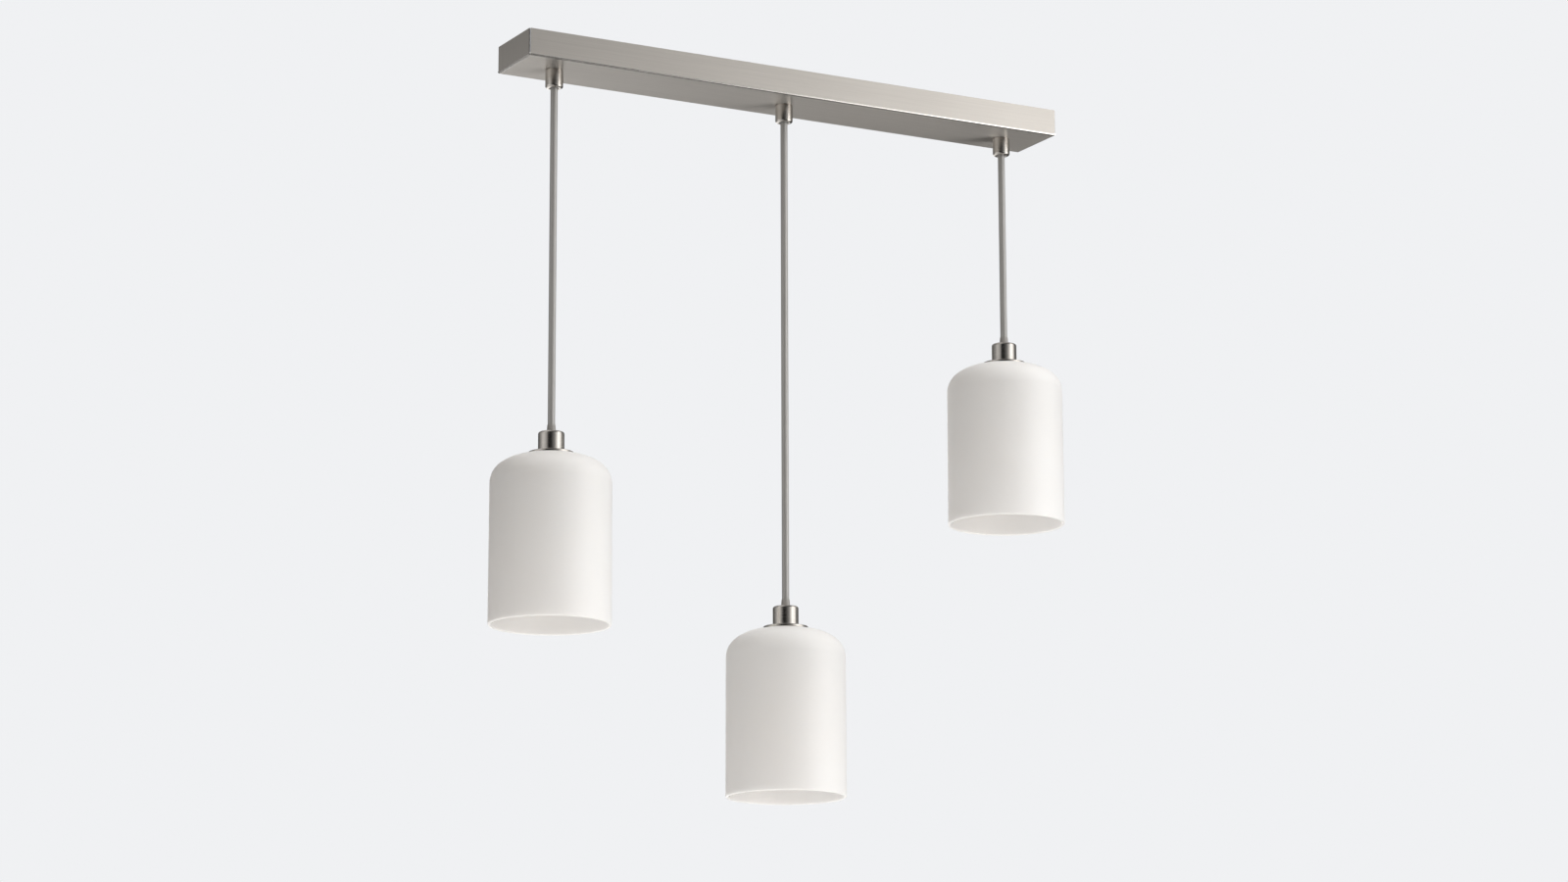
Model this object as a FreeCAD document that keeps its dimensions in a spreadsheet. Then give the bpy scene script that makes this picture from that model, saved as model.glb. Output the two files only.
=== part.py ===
# A linear island pendant: a folded sheet-metal bar on the ceiling, three cords and three opal glass lamps.
# Millimetres. X runs along the bar, Y away from the viewer, Z up. The origin is on the ceiling,
# in the middle of the ceiling bracket, so the whole object hangs below it.
import FreeCAD
import Part
import math
import os
import Sketcher

doc = FreeCAD.newDocument("linear_island_pendant")
sheet = doc.addObject("Spreadsheet::Sheet", "Sizes")

# Driving sizes. Each one is written once, and everything else is worked out from them.
drivingSizes = {
    # canopy pan
    "panLength": 628.0,
    "panDepth": 76.5,
    "panHeight": 28.5,
    "sheetWall": 1.2,
    "foldRadius": 2.2,
    "cornerRelief": 1.4,
    "lipLength": 20.0,
    "lipDepth": 4.0,
    # row of pendants
    "pendantSpacing": 268.0,
    "leftDrop": 432.0,
    "middleDrop": 588.5,
    "rightDrop": 282.0,
    # ceiling bracket
    "bracketLength": 376.0,
    "bracketWidth": 24.0,
    "bracketWall": 1.5,
    "boxScrewSpacing": 79.4,
    "slotLength": 14.8,
    "slotRadius": 2.6,
    "wireHoleRadius": 5.5,
    "armWidth": 26.0,
    "armStep": 3.0,
    "legLength": 12.0,
    "groundScrewPlace": 66.0,
    "canopyScrewDrop": 10.0,
    "screwRadius": 1.95,
    "screwHeadRadius": 3.8,
    "screwHeadHeight": 2.4,
    "screwHeadBrim": 0.8,
    "screwLength": 8.0,
    "driverRadius": 1.2,
    "driverDepth": 1.2,
    "driverTaper": 0.4,
    "threadChamfer": 0.5,
    # cord grip
    "gripRadius": 9.15,
    "gripHeight": 19.3,
    "gripEdge": 2.4,
    "gripCollar": 0.8,
    "gripCollarStep": 0.5,
    "mouthRadius": 4.75,
    "mouthChamfer": 0.7,
    "mouthDepth": 3.3,
    "gripSeat": 5.5,
    "gripThread": 6.0,
    "gripNippleBore": 4.25,
    "gripNippleInset": 9.0,
    "gripNippleSpare": 2.5,
    "washerRadius": 10.0,
    "washerWall": 0.8,
    "gripNutFlats": 16.0,
    "gripNutHeight": 4.0,
    # cord
    "cordRadius": 3.75,
    "pivotInset": 1.5,
    "hingeGap": 0.3,
    "cordTailSpare": 3.0,
    # glass shade
    "shadeRadius": 61.5,
    "rimFlare": 0.4,
    "shadeHeight": 172.5,
    "glassWall": 3.2,
    "crownFlat": 23.0,
    "crownRadius": 50.0,
    "shoulderRadius": 24.0,
    "shadeHole": 20.65,
    # socket cap, disc, strain relief
    "capRadius": 13.3,
    "capHeight": 21.0,
    "capEdge": 2.3,
    "capWall": 1.8,
    "discRadius": 23.05,
    "discHeight": 2.8,
    "discEdge": 0.6,
    "gasketWall": 0.8,
    "sleeveHeight": 7.6,
    "sleeveFoot": 4.7,
    "sleeveTip": 4.15,
    "sleeveBand": 0.5,
    "sleeveFlange": 7.0,
    "sleeveFlangeWall": 2.0,
    # lamp holder
    "lampNipple": 5.0,
    "lampNippleBore": 4.05,
    "lampNippleRise": 11.0,
    "lampNutFlats": 14.0,
    "lampNutHeight": 3.5,
    "holderRadius": 19.5,
    "holderCollar": 14.5,
    "holderBodyRadius": 17.2,
    "holderDepth": 46.0,
    "holderFloor": 12.0,
    "holderEdge": 1.5,
    "nippleDepth": 6.0,
    "lampBore": 13.3,
    "shellWall": 0.6,
    "shellInset": 2.0,
    "shellBase": 12.2,
    "shellBaseDepth": 4.5,
    "contactRadius": 4.5,
    "contactDome": 2.8,
    "contactClear": 1.5,
    "contactHeight": 3.0,
    "contactStrip": 1.0,
    "ringRadius": 28.0,
    "ringLand": 22.5,
    "ringSlope": 1.8,
    "ringHeight": 6.0,
    "ringEdge": 0.8,
    # wiring in the pan
    "wireRadius": 1.1,
    "wireCircle": 1.9,
    "wireLead": 9.0,
    "connectorStep": 28.0,
    "connectorsLeft": 90.0,
    "connectorRadius": 5.6,
    "connectorTip": 3.8,
    "connectorSkirt": 6.3,
    "connectorEdge": 1.2,
    "connectorLength": 19.0,
    "connectorBack": 35.5,
    "connectorLift": 7.6,
    # clearances
    "fitGap": 0.1,
    "coverGap": 0.3,
}


class Size:
    # A length that knows its number and the expression that drives it.
    def __init__(self, value, text):
        self.value = value
        self.text = text

    def __add__(self, other):
        other = sized(other)
        return Size(self.value + other.value, f"({self.text} + {other.text})")

    def __sub__(self, other):
        other = sized(other)
        return Size(self.value - other.value, f"({self.text} - {other.text})")

    def __mul__(self, other):
        other = sized(other)
        return Size(self.value * other.value, f"({self.text} * {other.text})")

    def __truediv__(self, other):
        other = sized(other)
        return Size(self.value / other.value, f"({self.text} / {other.text})")

    def __neg__(self):
        return Size(-self.value, f"(0 - {self.text})")


def sized(number):
    return number if isinstance(number, Size) else Size(float(number), f"{float(number)}")


def root(size):
    return Size(math.sqrt(size.value), f"sqrt({size.text})")


def readSheet():
    for row, (name, value) in enumerate(drivingSizes.items(), start=1):
        sheet.set(f"A{row}", name)
        sheet.set(f"B{row}", str(value))
        sheet.setAlias(f"B{row}", name)
    doc.recompute()
    return {name: Size(float(sheet.get(name)), f"Sizes.{name}") for name in drivingSizes}


size = readSheet()
zero = sized(0)
nodes = {}
samePoint = 1e-6
sameLevel = 0.01
leastCut = 0.01


def keep(label, item):
    item.Label = label
    nodes[label] = item
    return item


def bind(item, name, length):
    item.setExpression(name, length.text)


def place(item, x, y, z):
    bind(item, "Placement.Base.x", sized(x))
    bind(item, "Placement.Base.y", sized(y))
    bind(item, "Placement.Base.z", sized(z))


def turnAboutX(item, degrees):
    turn = FreeCAD.Rotation(FreeCAD.Vector(1, 0, 0), degrees)
    item.Placement = FreeCAD.Placement(FreeCAD.Vector(0, 0, 0), turn)


def originItem(body, role):
    # One of the body's own planes or axes.
    return [item for item in body.Origin.OriginFeatures if item.Role == role][0]


def newSketch(body, name, role, lift=None):
    sketch = body.newObject("Sketcher::SketchObject", name)
    sketch.AttachmentSupport = [(originItem(body, role), "")]
    sketch.MapMode = "FlatFace"
    if lift is not None:
        sketch.setExpression("AttachmentOffset.Base.z", lift.text)
    return sketch


def arcBetween(first, last, radius):
    # A positive radius turns left on the way from first to last, a negative one turns right.
    dx = last[0] - first[0]
    dy = last[1] - first[1]
    chord = math.hypot(dx, dy)
    side = math.copysign(1.0, radius)
    reach = math.sqrt(max(radius * radius - chord * chord / 4, 0.0))
    sag = abs(radius) - reach
    midX = (first[0] + last[0]) / 2 + side * dy / chord * sag
    midY = (first[1] + last[1]) / 2 - side * dx / chord * sag
    return Part.Arc(
        FreeCAD.Vector(first[0], first[1], 0),
        FreeCAD.Vector(midX, midY, 0),
        FreeCAD.Vector(last[0], last[1], 0))


def fixArc(sketch, edge, first, last, radius):
    # A half circle is held by its centre, because its radius is settled by its two ends.
    chordX = last[0].value - first[0].value
    chordY = last[1].value - first[1].value
    if math.hypot(chordX, chordY) < 2 * abs(radius.value) - samePoint:
        bend = sketch.addConstraint(Sketcher.Constraint("Radius", edge, abs(radius.value)))
        positive = radius if radius.value > 0 else -radius
        sketch.setExpression(f"Constraints[{bend}]", positive.text)
        return
    kind, axis = ("DistanceX", 0) if abs(chordY) > abs(chordX) else ("DistanceY", 1)
    middle = (first[axis] + last[axis]) / 2
    mark = sketch.addConstraint(Sketcher.Constraint(kind, -1, 1, edge, 3, middle.value))
    sketch.setExpression(f"Constraints[{mark}]", middle.text)


def drawLoop(sketch, outline):
    # An outline is a list of corners (x, y) or (x, y, radius): with a radius, an arc leads to that corner.
    corners = [(sized(corner[0]), sized(corner[1])) for corner in outline]
    count = len(corners)
    ends = []
    for index in range(count):
        first = corners[index - 1]
        last = corners[index]
        start = FreeCAD.Vector(first[0].value, first[1].value, 0)
        finish = FreeCAD.Vector(last[0].value, last[1].value, 0)
        if len(outline[index]) == 3:
            radius = sized(outline[index][2])
            edge = sketch.addGeometry(arcBetween(start, finish, radius.value), False)
            forward = sketch.getPoint(edge, 1).distanceToPoint(start) < samePoint
            ends.append((edge, 1, 2) if forward else (edge, 2, 1))
            fixArc(sketch, edge, first, last, radius)
        else:
            edge = sketch.addGeometry(Part.LineSegment(start, finish), False)
            ends.append((edge, 1, 2))
    for index in range(count):
        edge, _, finishPoint = ends[index]
        nextEdge, startPoint, _ = ends[(index + 1) % count]
        sketch.addConstraint(Sketcher.Constraint("Coincident", edge, finishPoint, nextEdge, startPoint))
        for kind, length in (("DistanceX", corners[index][0]), ("DistanceY", corners[index][1])):
            mark = sketch.addConstraint(
                Sketcher.Constraint(kind, -1, 1, edge, finishPoint, length.value))
            sketch.setExpression(f"Constraints[{mark}]", length.text)


def drawCircle(sketch, x, y, radius):
    x, y, radius = sized(x), sized(y), sized(radius)
    middle = FreeCAD.Vector(x.value, y.value, 0)
    edge = sketch.addGeometry(Part.Circle(middle, FreeCAD.Vector(0, 0, 1), radius.value), False)
    for kind, length in (("DistanceX", x), ("DistanceY", y)):
        mark = sketch.addConstraint(Sketcher.Constraint(kind, -1, 1, edge, 3, length.value))
        sketch.setExpression(f"Constraints[{mark}]", length.text)
    bend = sketch.addConstraint(Sketcher.Constraint("Radius", edge, radius.value))
    sketch.setExpression(f"Constraints[{bend}]", radius.text)


def newBody(label):
    return keep(label, doc.addObject("PartDesign::Body", label))


def turned(label, outline):
    # A turned piece: its half outline (radius, height) goes once round the Z axis.
    body = newBody(label)
    sketch = newSketch(body, label + "Profile", "XZ_Plane")
    drawLoop(sketch, outline)
    turn = body.newObject("PartDesign::Revolution", label + "Turn")
    turn.Profile = sketch
    turn.ReferenceAxis = (sketch, ["V_Axis"])
    turn.Angle = 360
    return body


def pad(body, name, loops, circles, lift, height):
    # Grows upwards from lift by height.
    sketch = newSketch(body, body.Label + name + "Sketch", "XY_Plane", sized(lift))
    for loop in loops:
        drawLoop(sketch, loop)
    for circle in circles:
        drawCircle(sketch, *circle)
    feature = body.newObject("PartDesign::Pad", body.Label + name)
    feature.Profile = sketch
    bind(feature, "Length", sized(height))
    return feature


def pocket(body, name, loops, circles, lift, depth):
    # Cuts downwards from lift by depth, and makes sure that something was cut.
    doc.recompute()
    before = body.Shape.Volume
    sketch = newSketch(body, body.Label + name + "Sketch", "XY_Plane", sized(lift))
    for loop in loops:
        drawLoop(sketch, loop)
    for circle in circles:
        drawCircle(sketch, *circle)
    feature = body.newObject("PartDesign::Pocket", body.Label + name)
    feature.Profile = sketch
    bind(feature, "Length", sized(depth))
    doc.recompute()
    if body.Shape.Volume > before - leastCut:
        raise RuntimeError(f"{body.Label} {name} cuts nothing")
    return feature


def rearHoles(body, name, places, radius):
    # Round holes from the plane through the bar's middle towards +Y, so through the rear side only.
    doc.recompute()
    before = body.Shape.Volume
    balance = body.Shape.CenterOfGravity.y
    sketch = newSketch(body, body.Label + name + "Sketch", "XZ_Plane")
    for x, z in places:
        drawCircle(sketch, x, z, radius)
    feature = body.newObject("PartDesign::Pocket", body.Label + name)
    feature.Profile = sketch
    bind(feature, "Length", size["panDepth"])
    doc.recompute()
    if body.Shape.Volume > before - leastCut or body.Shape.CenterOfGravity.y >= balance:
        raise RuntimeError(f"{body.Label} {name} misses the rear side")
    return feature


def rectangle(x, y, length, width):
    # The corners of a rectangle around (x, y).
    x, y = sized(x), sized(y)
    halfLength = sized(length) / 2
    halfWidth = sized(width) / 2
    return [
        (x - halfLength, y - halfWidth), (x + halfLength, y - halfWidth),
        (x + halfLength, y + halfWidth), (x - halfLength, y + halfWidth)]


def slot(x, y, length, radius):
    # A slot along X with round ends.
    x, y, radius = sized(x), sized(y), sized(radius)
    reach = sized(length) / 2 - radius
    return [
        (x - reach, y - radius, radius), (x + reach, y - radius),
        (x + reach, y + radius, radius), (x - reach, y + radius)]


def hexagon(flats):
    # A hexagon with two corners on the X axis.
    corner = sized(flats) / root(sized(3))
    half = sized(flats) / 2
    return [
        (corner, zero), (corner / 2, half), (-corner / 2, half),
        (-corner, zero), (-corner / 2, -half), (corner / 2, -half)]


def inRow(body, direction, length, count):
    # Repeats the whole body along a direction as separate solids.
    doc.recompute()
    body.AllowCompound = True
    pattern = body.newObject("PartDesign::LinearPattern", body.Label + "Row")
    pattern.Originals = [item for item in body.Group if item.TypeId in
                         ("PartDesign::Pad", "PartDesign::Pocket", "PartDesign::Revolution")]
    pattern.Direction = (originItem(body, direction), [""])
    bind(pattern, "Length", sized(length))
    pattern.Occurrences = count
    body.Tip = pattern
    return pattern


def filletWhere(body, name, radius, test):
    # Rounds the edges for which the test on an edge's box holds.
    doc.recompute()
    base = body.Tip
    picked = [f"Edge{index}" for index, edge in enumerate(base.Shape.Edges, start=1) if test(edge.BoundBox)]
    feature = body.newObject("PartDesign::Fillet", body.Label + name)
    feature.Base = (base, picked)
    bind(feature, "Radius", sized(radius))
    return feature


# Places that several pieces share.
halfLength = size["panLength"] / 2
halfDepth = size["panDepth"] / 2
panBottom = -size["panHeight"]
panFloor = panBottom + size["sheetWall"]
wallInside = halfDepth - size["sheetWall"]
armX = size["bracketLength"] / 2 + size["armWidth"] / 2 - size["bracketWall"]
armTop = -size["armStep"]
armBottom = armTop - size["bracketWall"]
pivotDrop = size["gripHeight"] - size["pivotInset"]
cordStart = panBottom - pivotDrop - size["cordRadius"] - size["hingeGap"]
sleeveTop = size["gasketWall"] + size["discHeight"] + size["capHeight"] + size["sleeveHeight"]
discBottom = size["gasketWall"]
discTop = discBottom + size["discHeight"]
capTop = discTop + size["capHeight"]
rearPlaces = [(x, -size["canopyScrewDrop"]) for x in (-armX, armX)]
connectorZ = panFloor + size["connectorLift"]
mouthY = size["connectorBack"] - size["connectorLength"]
sides = {
    "left": (-size["pendantSpacing"], size["leftDrop"]),
    "middle": (zero, size["middleDrop"]),
    "right": (size["pendantSpacing"], size["rightDrop"]),
}


def makeCanopyPan():
    # A tray folded from one sheet, open upwards, with square reliefs at its four corners.
    body = newBody("canopy_pan")
    block = rectangle(0, 0, size["panLength"], size["panDepth"])
    pad(body, "Block", [block], [], panBottom, size["panHeight"])
    low = panBottom.value
    filletWhere(body, "OuterFold", size["foldRadius"], lambda box: box.ZMax < low + sameLevel)
    hollow = rectangle(
        0, 0, size["panLength"] - size["sheetWall"] * 2, size["panDepth"] - size["sheetWall"] * 2)
    pocket(body, "Hollow", [hollow], [], 0, size["panHeight"] - size["sheetWall"])
    floor = panFloor.value
    filletWhere(
        body, "InnerFold", size["foldRadius"] - size["sheetWall"],
        lambda box: floor - sameLevel < box.ZMin and box.ZMax < floor + sameLevel)
    relief = size["cornerRelief"]
    cornerX = halfLength - relief / 2
    cornerY = halfDepth - relief / 2
    corners = [rectangle(x, y, relief, relief)
               for x in (-cornerX, cornerX) for y in (-cornerY, cornerY)]
    pocket(body, "CornerReliefs", corners, [], 0, size["panHeight"] - size["foldRadius"])
    gripHole = size["gripThread"] + size["fitGap"] * 2
    holes = [(x, 0, gripHole) for x, _ in sides.values()]
    pocket(body, "GripHoles", [], holes, 0, size["panHeight"] + size["sheetWall"])
    lipY = -(wallInside - size["lipDepth"] / 2)
    lips = [rectangle(x, lipY, size["lipLength"], size["lipDepth"]) for x in (-armX, armX)]
    pad(body, "Lips", lips, [], armTop + size["fitGap"], size["sheetWall"])
    rearHoles(body, "RearHoles", rearPlaces, size["screwRadius"] + size["coverGap"])
    return body


def makeCeilingBracket():
    # A strap against the ceiling with a cross arm stepped down at each end and a leg for the rear screw.
    body = newBody("ceiling_bracket")
    wall = size["bracketWall"]
    strap = rectangle(0, 0, size["bracketLength"], size["bracketWidth"])
    pad(body, "Strap", [strap], [], -wall, wall)
    webX = size["bracketLength"] / 2 - wall / 2
    webs = [rectangle(x, 0, wall, size["bracketWidth"]) for x in (-webX, webX)]
    pad(body, "Webs", webs, [], armBottom, size["armStep"] + wall)
    front = -(wallInside - size["coverGap"])
    back = wallInside - size["fitGap"]
    middle = (front + back) / 2
    arms = [rectangle(x, middle, size["armWidth"], back - front) for x in (-armX, armX)]
    pad(body, "Arms", arms, [], armBottom, wall)
    legs = [rectangle(x, back - wall / 2, size["armWidth"], wall) for x in (-armX, armX)]
    pad(body, "Legs", legs, [], armBottom - size["legLength"], size["legLength"])
    slotX = size["boxScrewSpacing"] / 2
    slots = [slot(x, 0, size["slotLength"], size["slotRadius"]) for x in (-slotX, slotX)]
    pocket(body, "BoxSlots", slots, [], 0, wall)
    wireHole = (0, 0, size["wireHoleRadius"])
    groundHole = (size["groundScrewPlace"], 0, size["screwRadius"] + size["fitGap"])
    pocket(body, "RoundHoles", [], [wireHole, groundHole], 0, wall)
    rearHoles(body, "LegHoles", rearPlaces, size["screwRadius"] + size["fitGap"])
    return body


def screwOutline(length):
    # A pan-head screw with its head above z = 0 and its shank below.
    head = size["screwHeadRadius"]
    shank = size["screwRadius"]
    chamfer = size["threadChamfer"]
    rise = size["screwHeadHeight"]
    dome = rise - size["screwHeadBrim"]
    driver = size["driverRadius"]
    recess = rise - size["driverDepth"]
    return [
        (0, -length), (shank - chamfer, -length), (shank, -length + chamfer), (shank, 0), (head, 0),
        (head, rise - dome), (head - dome, rise, dome), (driver, rise),
        (driver - size["driverTaper"], recess), (0, recess)]


def makeCanopyScrews():
    # Two screws enter from behind, so their heads look towards +Y.
    body = turned("canopy_screws", screwOutline(size["screwLength"]))
    inRow(body, "X_Axis", armX * 2, 2)
    turnAboutX(body, -90)
    place(body, -armX, halfDepth, -size["canopyScrewDrop"])
    return body


def makeGroundScrew():
    # Green earth screw from below: its head hangs under the strap.
    body = turned("ground_screw", screwOutline(size["bracketWall"] - size["fitGap"]))
    turnAboutX(body, 180)
    place(body, size["groundScrewPlace"], 0, -size["bracketWall"])
    return body


def gripOutline():
    outer = size["gripRadius"]
    low = -size["gripHeight"]
    edge = size["gripEdge"]
    mouth = size["mouthRadius"]
    chamfer = size["mouthChamfer"]
    cavity = size["gripThread"] + size["fitGap"]
    neck = outer - size["gripCollarStep"]
    return [
        (cavity, 0), (neck, 0), (neck, -size["gripCollar"]), (outer, -size["gripCollar"]),
        (outer, low + edge), (outer - edge, low, -edge), (mouth + chamfer, low),
        (mouth, low + chamfer), (mouth, low + size["mouthDepth"]), (cavity, low + size["gripSeat"])]


def makeCordGrip(side):
    body = turned("cord_grip_" + side, gripOutline())
    place(body, sides[side][0], 0, panBottom)
    return body


def gripStackTop():
    # Height of the nut's top above the canopy's underside.
    return size["sheetWall"] + size["washerWall"] + size["gripNutHeight"]


def makeGripNipples():
    outer = size["gripThread"]
    bore = size["gripNippleBore"]
    low = -size["gripNippleInset"]
    high = gripStackTop() + size["gripNippleSpare"]
    chamfer = size["threadChamfer"]
    body = turned("grip_nipples", [
        (bore, low), (outer - chamfer, low), (outer, low + chamfer), (outer, high - chamfer),
        (outer - chamfer, high), (bore, high)])
    inRow(body, "X_Axis", size["pendantSpacing"] * 2, 3)
    place(body, -size["pendantSpacing"], 0, panBottom)
    return body


def makeGripWashers():
    inner = size["gripThread"] + size["fitGap"]
    low = size["sheetWall"]
    high = low + size["washerWall"]
    body = turned("grip_washers", [
        (inner, low), (size["washerRadius"], low), (size["washerRadius"], high), (inner, high)])
    inRow(body, "X_Axis", size["pendantSpacing"] * 2, 3)
    place(body, -size["pendantSpacing"], 0, panBottom)
    return body


def makeGripNuts():
    body = newBody("grip_nuts")
    low = size["sheetWall"] + size["washerWall"]
    bore = [(0, 0, size["gripThread"] + size["fitGap"])]
    pad(body, "Hexagon", [hexagon(size["gripNutFlats"])], bore, low, size["gripNutHeight"])
    inRow(body, "X_Axis", size["pendantSpacing"] * 2, 3)
    place(body, -size["pendantSpacing"], 0, panBottom)
    return body


def makeGripCollets():
    # A nylon ring with a cone nose that the nipple presses into the grip's seat.
    bore = size["cordRadius"] + size["fitGap"]
    outer = size["gripThread"] - size["fitGap"]
    high = -(size["gripNippleInset"] + size["fitGap"])
    low = -size["gripHeight"] + size["mouthDepth"] + size["coverGap"]
    cone = -size["gripHeight"] + size["gripSeat"] + size["coverGap"]
    nose = size["mouthRadius"] - size["fitGap"]
    body = turned("grip_collets", [
        (bore, low), (nose, low), (outer, cone), (outer, high), (bore, high)])
    inRow(body, "X_Axis", size["pendantSpacing"] * 2, 3)
    place(body, -size["pendantSpacing"], 0, panBottom)
    return body


def makeCordTails():
    # The stretch of each cord that the grip holds, from above the bend to the cut end in the pan.
    low = -pivotDrop + size["cordRadius"] + size["hingeGap"]
    high = gripStackTop() + size["gripNippleSpare"] + size["cordTailSpare"]
    body = turned("cord_tails", [
        (0, low), (size["cordRadius"], low), (size["cordRadius"], high), (0, high)])
    inRow(body, "X_Axis", size["pendantSpacing"] * 2, 3)
    place(body, -size["pendantSpacing"], 0, panBottom)
    return body


def makeCordNeck(side):
    # The short bend of the cord in the grip's mouth, as a ball around the point it swings about.
    ball = size["cordRadius"]
    body = turned("cord_neck_" + side, [(0, -ball), (0, ball, ball)])
    place(body, sides[side][0], 0, panBottom - pivotDrop)
    return body


def makeCord(side):
    # The straight stretch that carries the lamp, from the grip down to the strain relief.
    x, drop = sides[side]
    length = drop + cordStart - sleeveTop
    body = turned("cord_" + side, [
        (0, -length), (size["cordRadius"], -length), (size["cordRadius"], 0), (0, 0)])
    place(body, x, 0, cordStart)
    return body


def atLamp(body, side):
    x, drop = sides[side]
    place(body, x, 0, -drop)
    return body


def makeStrainRelief(side):
    bore = size["cordRadius"] + size["fitGap"]
    foot = size["sleeveFoot"]
    flangeTop = capTop - size["capWall"] - size["fitGap"]
    flangeLow = flangeTop - size["sleeveFlangeWall"]
    tip = size["sleeveTip"]
    return atLamp(turned("strain_relief_" + side, [
        (bore, flangeLow), (size["sleeveFlange"], flangeLow), (size["sleeveFlange"], flangeTop),
        (foot, flangeTop), (foot, capTop + size["sleeveBand"]), (tip, sleeveTop), (bore, sleeveTop)]), side)


def makeCordEnd(side):
    # The end of the cord that the lamp holds, down into its nipple.
    low = discTop
    return atLamp(turned("cord_end_" + side, [
        (0, low), (size["cordRadius"], low), (size["cordRadius"], sleeveTop), (0, sleeveTop)]), side)


def makeSocketCap(side):
    outer = size["capRadius"]
    edge = size["capEdge"]
    wall = size["capWall"]
    hole = size["sleeveFoot"] + size["fitGap"]
    return atLamp(turned("socket_cap_" + side, [
        (hole, capTop), (hole, capTop - wall), (outer - wall, capTop - wall), (outer - wall, discTop),
        (outer, discTop), (outer, capTop - edge), (outer - edge, capTop, edge)]), side)


def makeHolderDisc(side):
    outer = size["discRadius"]
    edge = size["discEdge"]
    hole = size["lampNipple"] + size["fitGap"]
    return atLamp(turned("holder_disc_" + side, [
        (hole, discBottom), (outer - edge, discBottom), (outer, discBottom + edge, edge),
        (outer, discTop - edge), (outer - edge, discTop, edge), (hole, discTop)]), side)


def makeGasket(side):
    inner = size["holderRadius"] + size["coverGap"]
    outer = size["discRadius"] - size["discEdge"]
    return atLamp(turned("disc_gasket_" + side, [
        (inner, 0), (outer, 0), (outer, discBottom), (inner, discBottom)]), side)


def makeLampNipple(side):
    outer = size["lampNipple"]
    low = -size["nippleDepth"] + size["fitGap"]
    high = discTop + size["lampNippleRise"]
    bore = size["lampNippleBore"]
    chamfer = size["threadChamfer"]
    return atLamp(turned("lamp_nipple_" + side, [
        (bore, low), (outer, low), (outer, high - chamfer), (outer - chamfer, high), (bore, high)]), side)


def makeLampNut(side):
    body = newBody("lamp_nut_" + side)
    bore = [(0, 0, size["lampNipple"] + size["fitGap"])]
    pad(body, "Hexagon", [hexagon(size["lampNutFlats"])], bore, discTop, size["lampNutHeight"])
    return atLamp(body, side)


def makeLampHolder(side):
    # A moulded holder: a threaded collar through the glass, a narrower body and a closed floor.
    collar = size["holderRadius"]
    lower = size["holderBodyRadius"]
    cavity = size["lampBore"] + size["shellWall"] + size["fitGap"]
    nipple = size["lampNipple"] + size["fitGap"]
    low = -size["holderDepth"]
    edge = size["holderEdge"]
    step = -size["holderCollar"]
    floor = -size["holderFloor"]
    seat = -size["nippleDepth"]
    return atLamp(turned("lamp_holder_" + side, [
        (0, seat), (nipple, seat), (nipple, discBottom), (collar, discBottom), (collar, step),
        (lower, step - (collar - lower)), (lower, low + edge), (lower - edge, low, -edge), (cavity, low),
        (cavity, floor), (0, floor)]), side)


def makeScrewShell(side):
    # The brass shell that the bulb's thread turns into, with a narrower base round the centre contact.
    bore = size["lampBore"]
    wall = size["shellWall"]
    outer = bore + wall
    base = size["shellBase"]
    high = -size["holderFloor"]
    shelf = high - size["shellBaseDepth"]
    low = -size["holderDepth"] + size["shellInset"]
    inner = size["contactRadius"] + size["contactClear"]
    return atLamp(turned("screw_shell_" + side, [
        (inner, high), (inner, high - wall), (base, high - wall), (base, shelf), (bore, shelf), (bore, low),
        (outer, low), (outer, shelf + wall), (base + wall, shelf + wall), (base + wall, high)]), side)


def makeCentreContact(side):
    high = -size["holderFloor"]
    disc = size["contactRadius"]
    dome = size["contactDome"]
    low = high - size["contactHeight"]
    rim = high - size["contactStrip"]
    rise = size["contactHeight"] - size["contactStrip"]
    bend = (dome * dome + rise * rise) / (rise * 2)
    return atLamp(turned("centre_contact_" + side, [
        (0, high), (0, low), (dome, rim, bend), (disc, rim), (disc, high)]), side)


def makeShadeRing(side):
    # The threaded ring that holds the glass up against the gasket.
    inner = size["holderRadius"] + size["fitGap"]
    outer = size["ringRadius"]
    high = -size["glassWall"]
    low = high - size["ringHeight"]
    edge = size["ringEdge"]
    return atLamp(turned("shade_ring_" + side, [
        (inner, low), (outer - edge, low), (outer, low + edge), (outer, high - size["ringSlope"]),
        (size["ringLand"], high), (inner, high)]), side)


def makeGlassShade(side):
    # Flat seat, shallow crown arc, shoulder arc, nearly straight wall and a rounded rim.
    wall = size["glassWall"]
    outer = size["shadeRadius"]
    seat = size["crownFlat"]
    crown = size["crownRadius"]
    shoulder = size["shoulderRadius"]
    low = -size["shadeHeight"]
    rimOuter = outer + size["rimFlare"]
    across = outer - shoulder - seat
    between = crown - shoulder
    drop = root(between * between - across * across)
    shoulderZ = drop - crown
    meetX = seat + across / between * crown
    meetZ = drop / between * crown - crown
    inX = seat + across / between * (crown - wall)
    inZ = drop / between * (crown - wall) - crown
    hole = size["shadeHole"]
    rim = wall / 2
    return atLamp(turned("glass_shade_" + side, [
        (hole, -wall), (hole, 0), (seat, 0), (meetX, meetZ, -crown), (outer, shoulderZ, -shoulder),
        (rimOuter, low + rim), (rimOuter - wall, low + rim, -rim), (outer - wall, shoulderZ),
        (inX, inZ, shoulder - wall), (seat, -wall, crown - wall)]), side)


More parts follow.
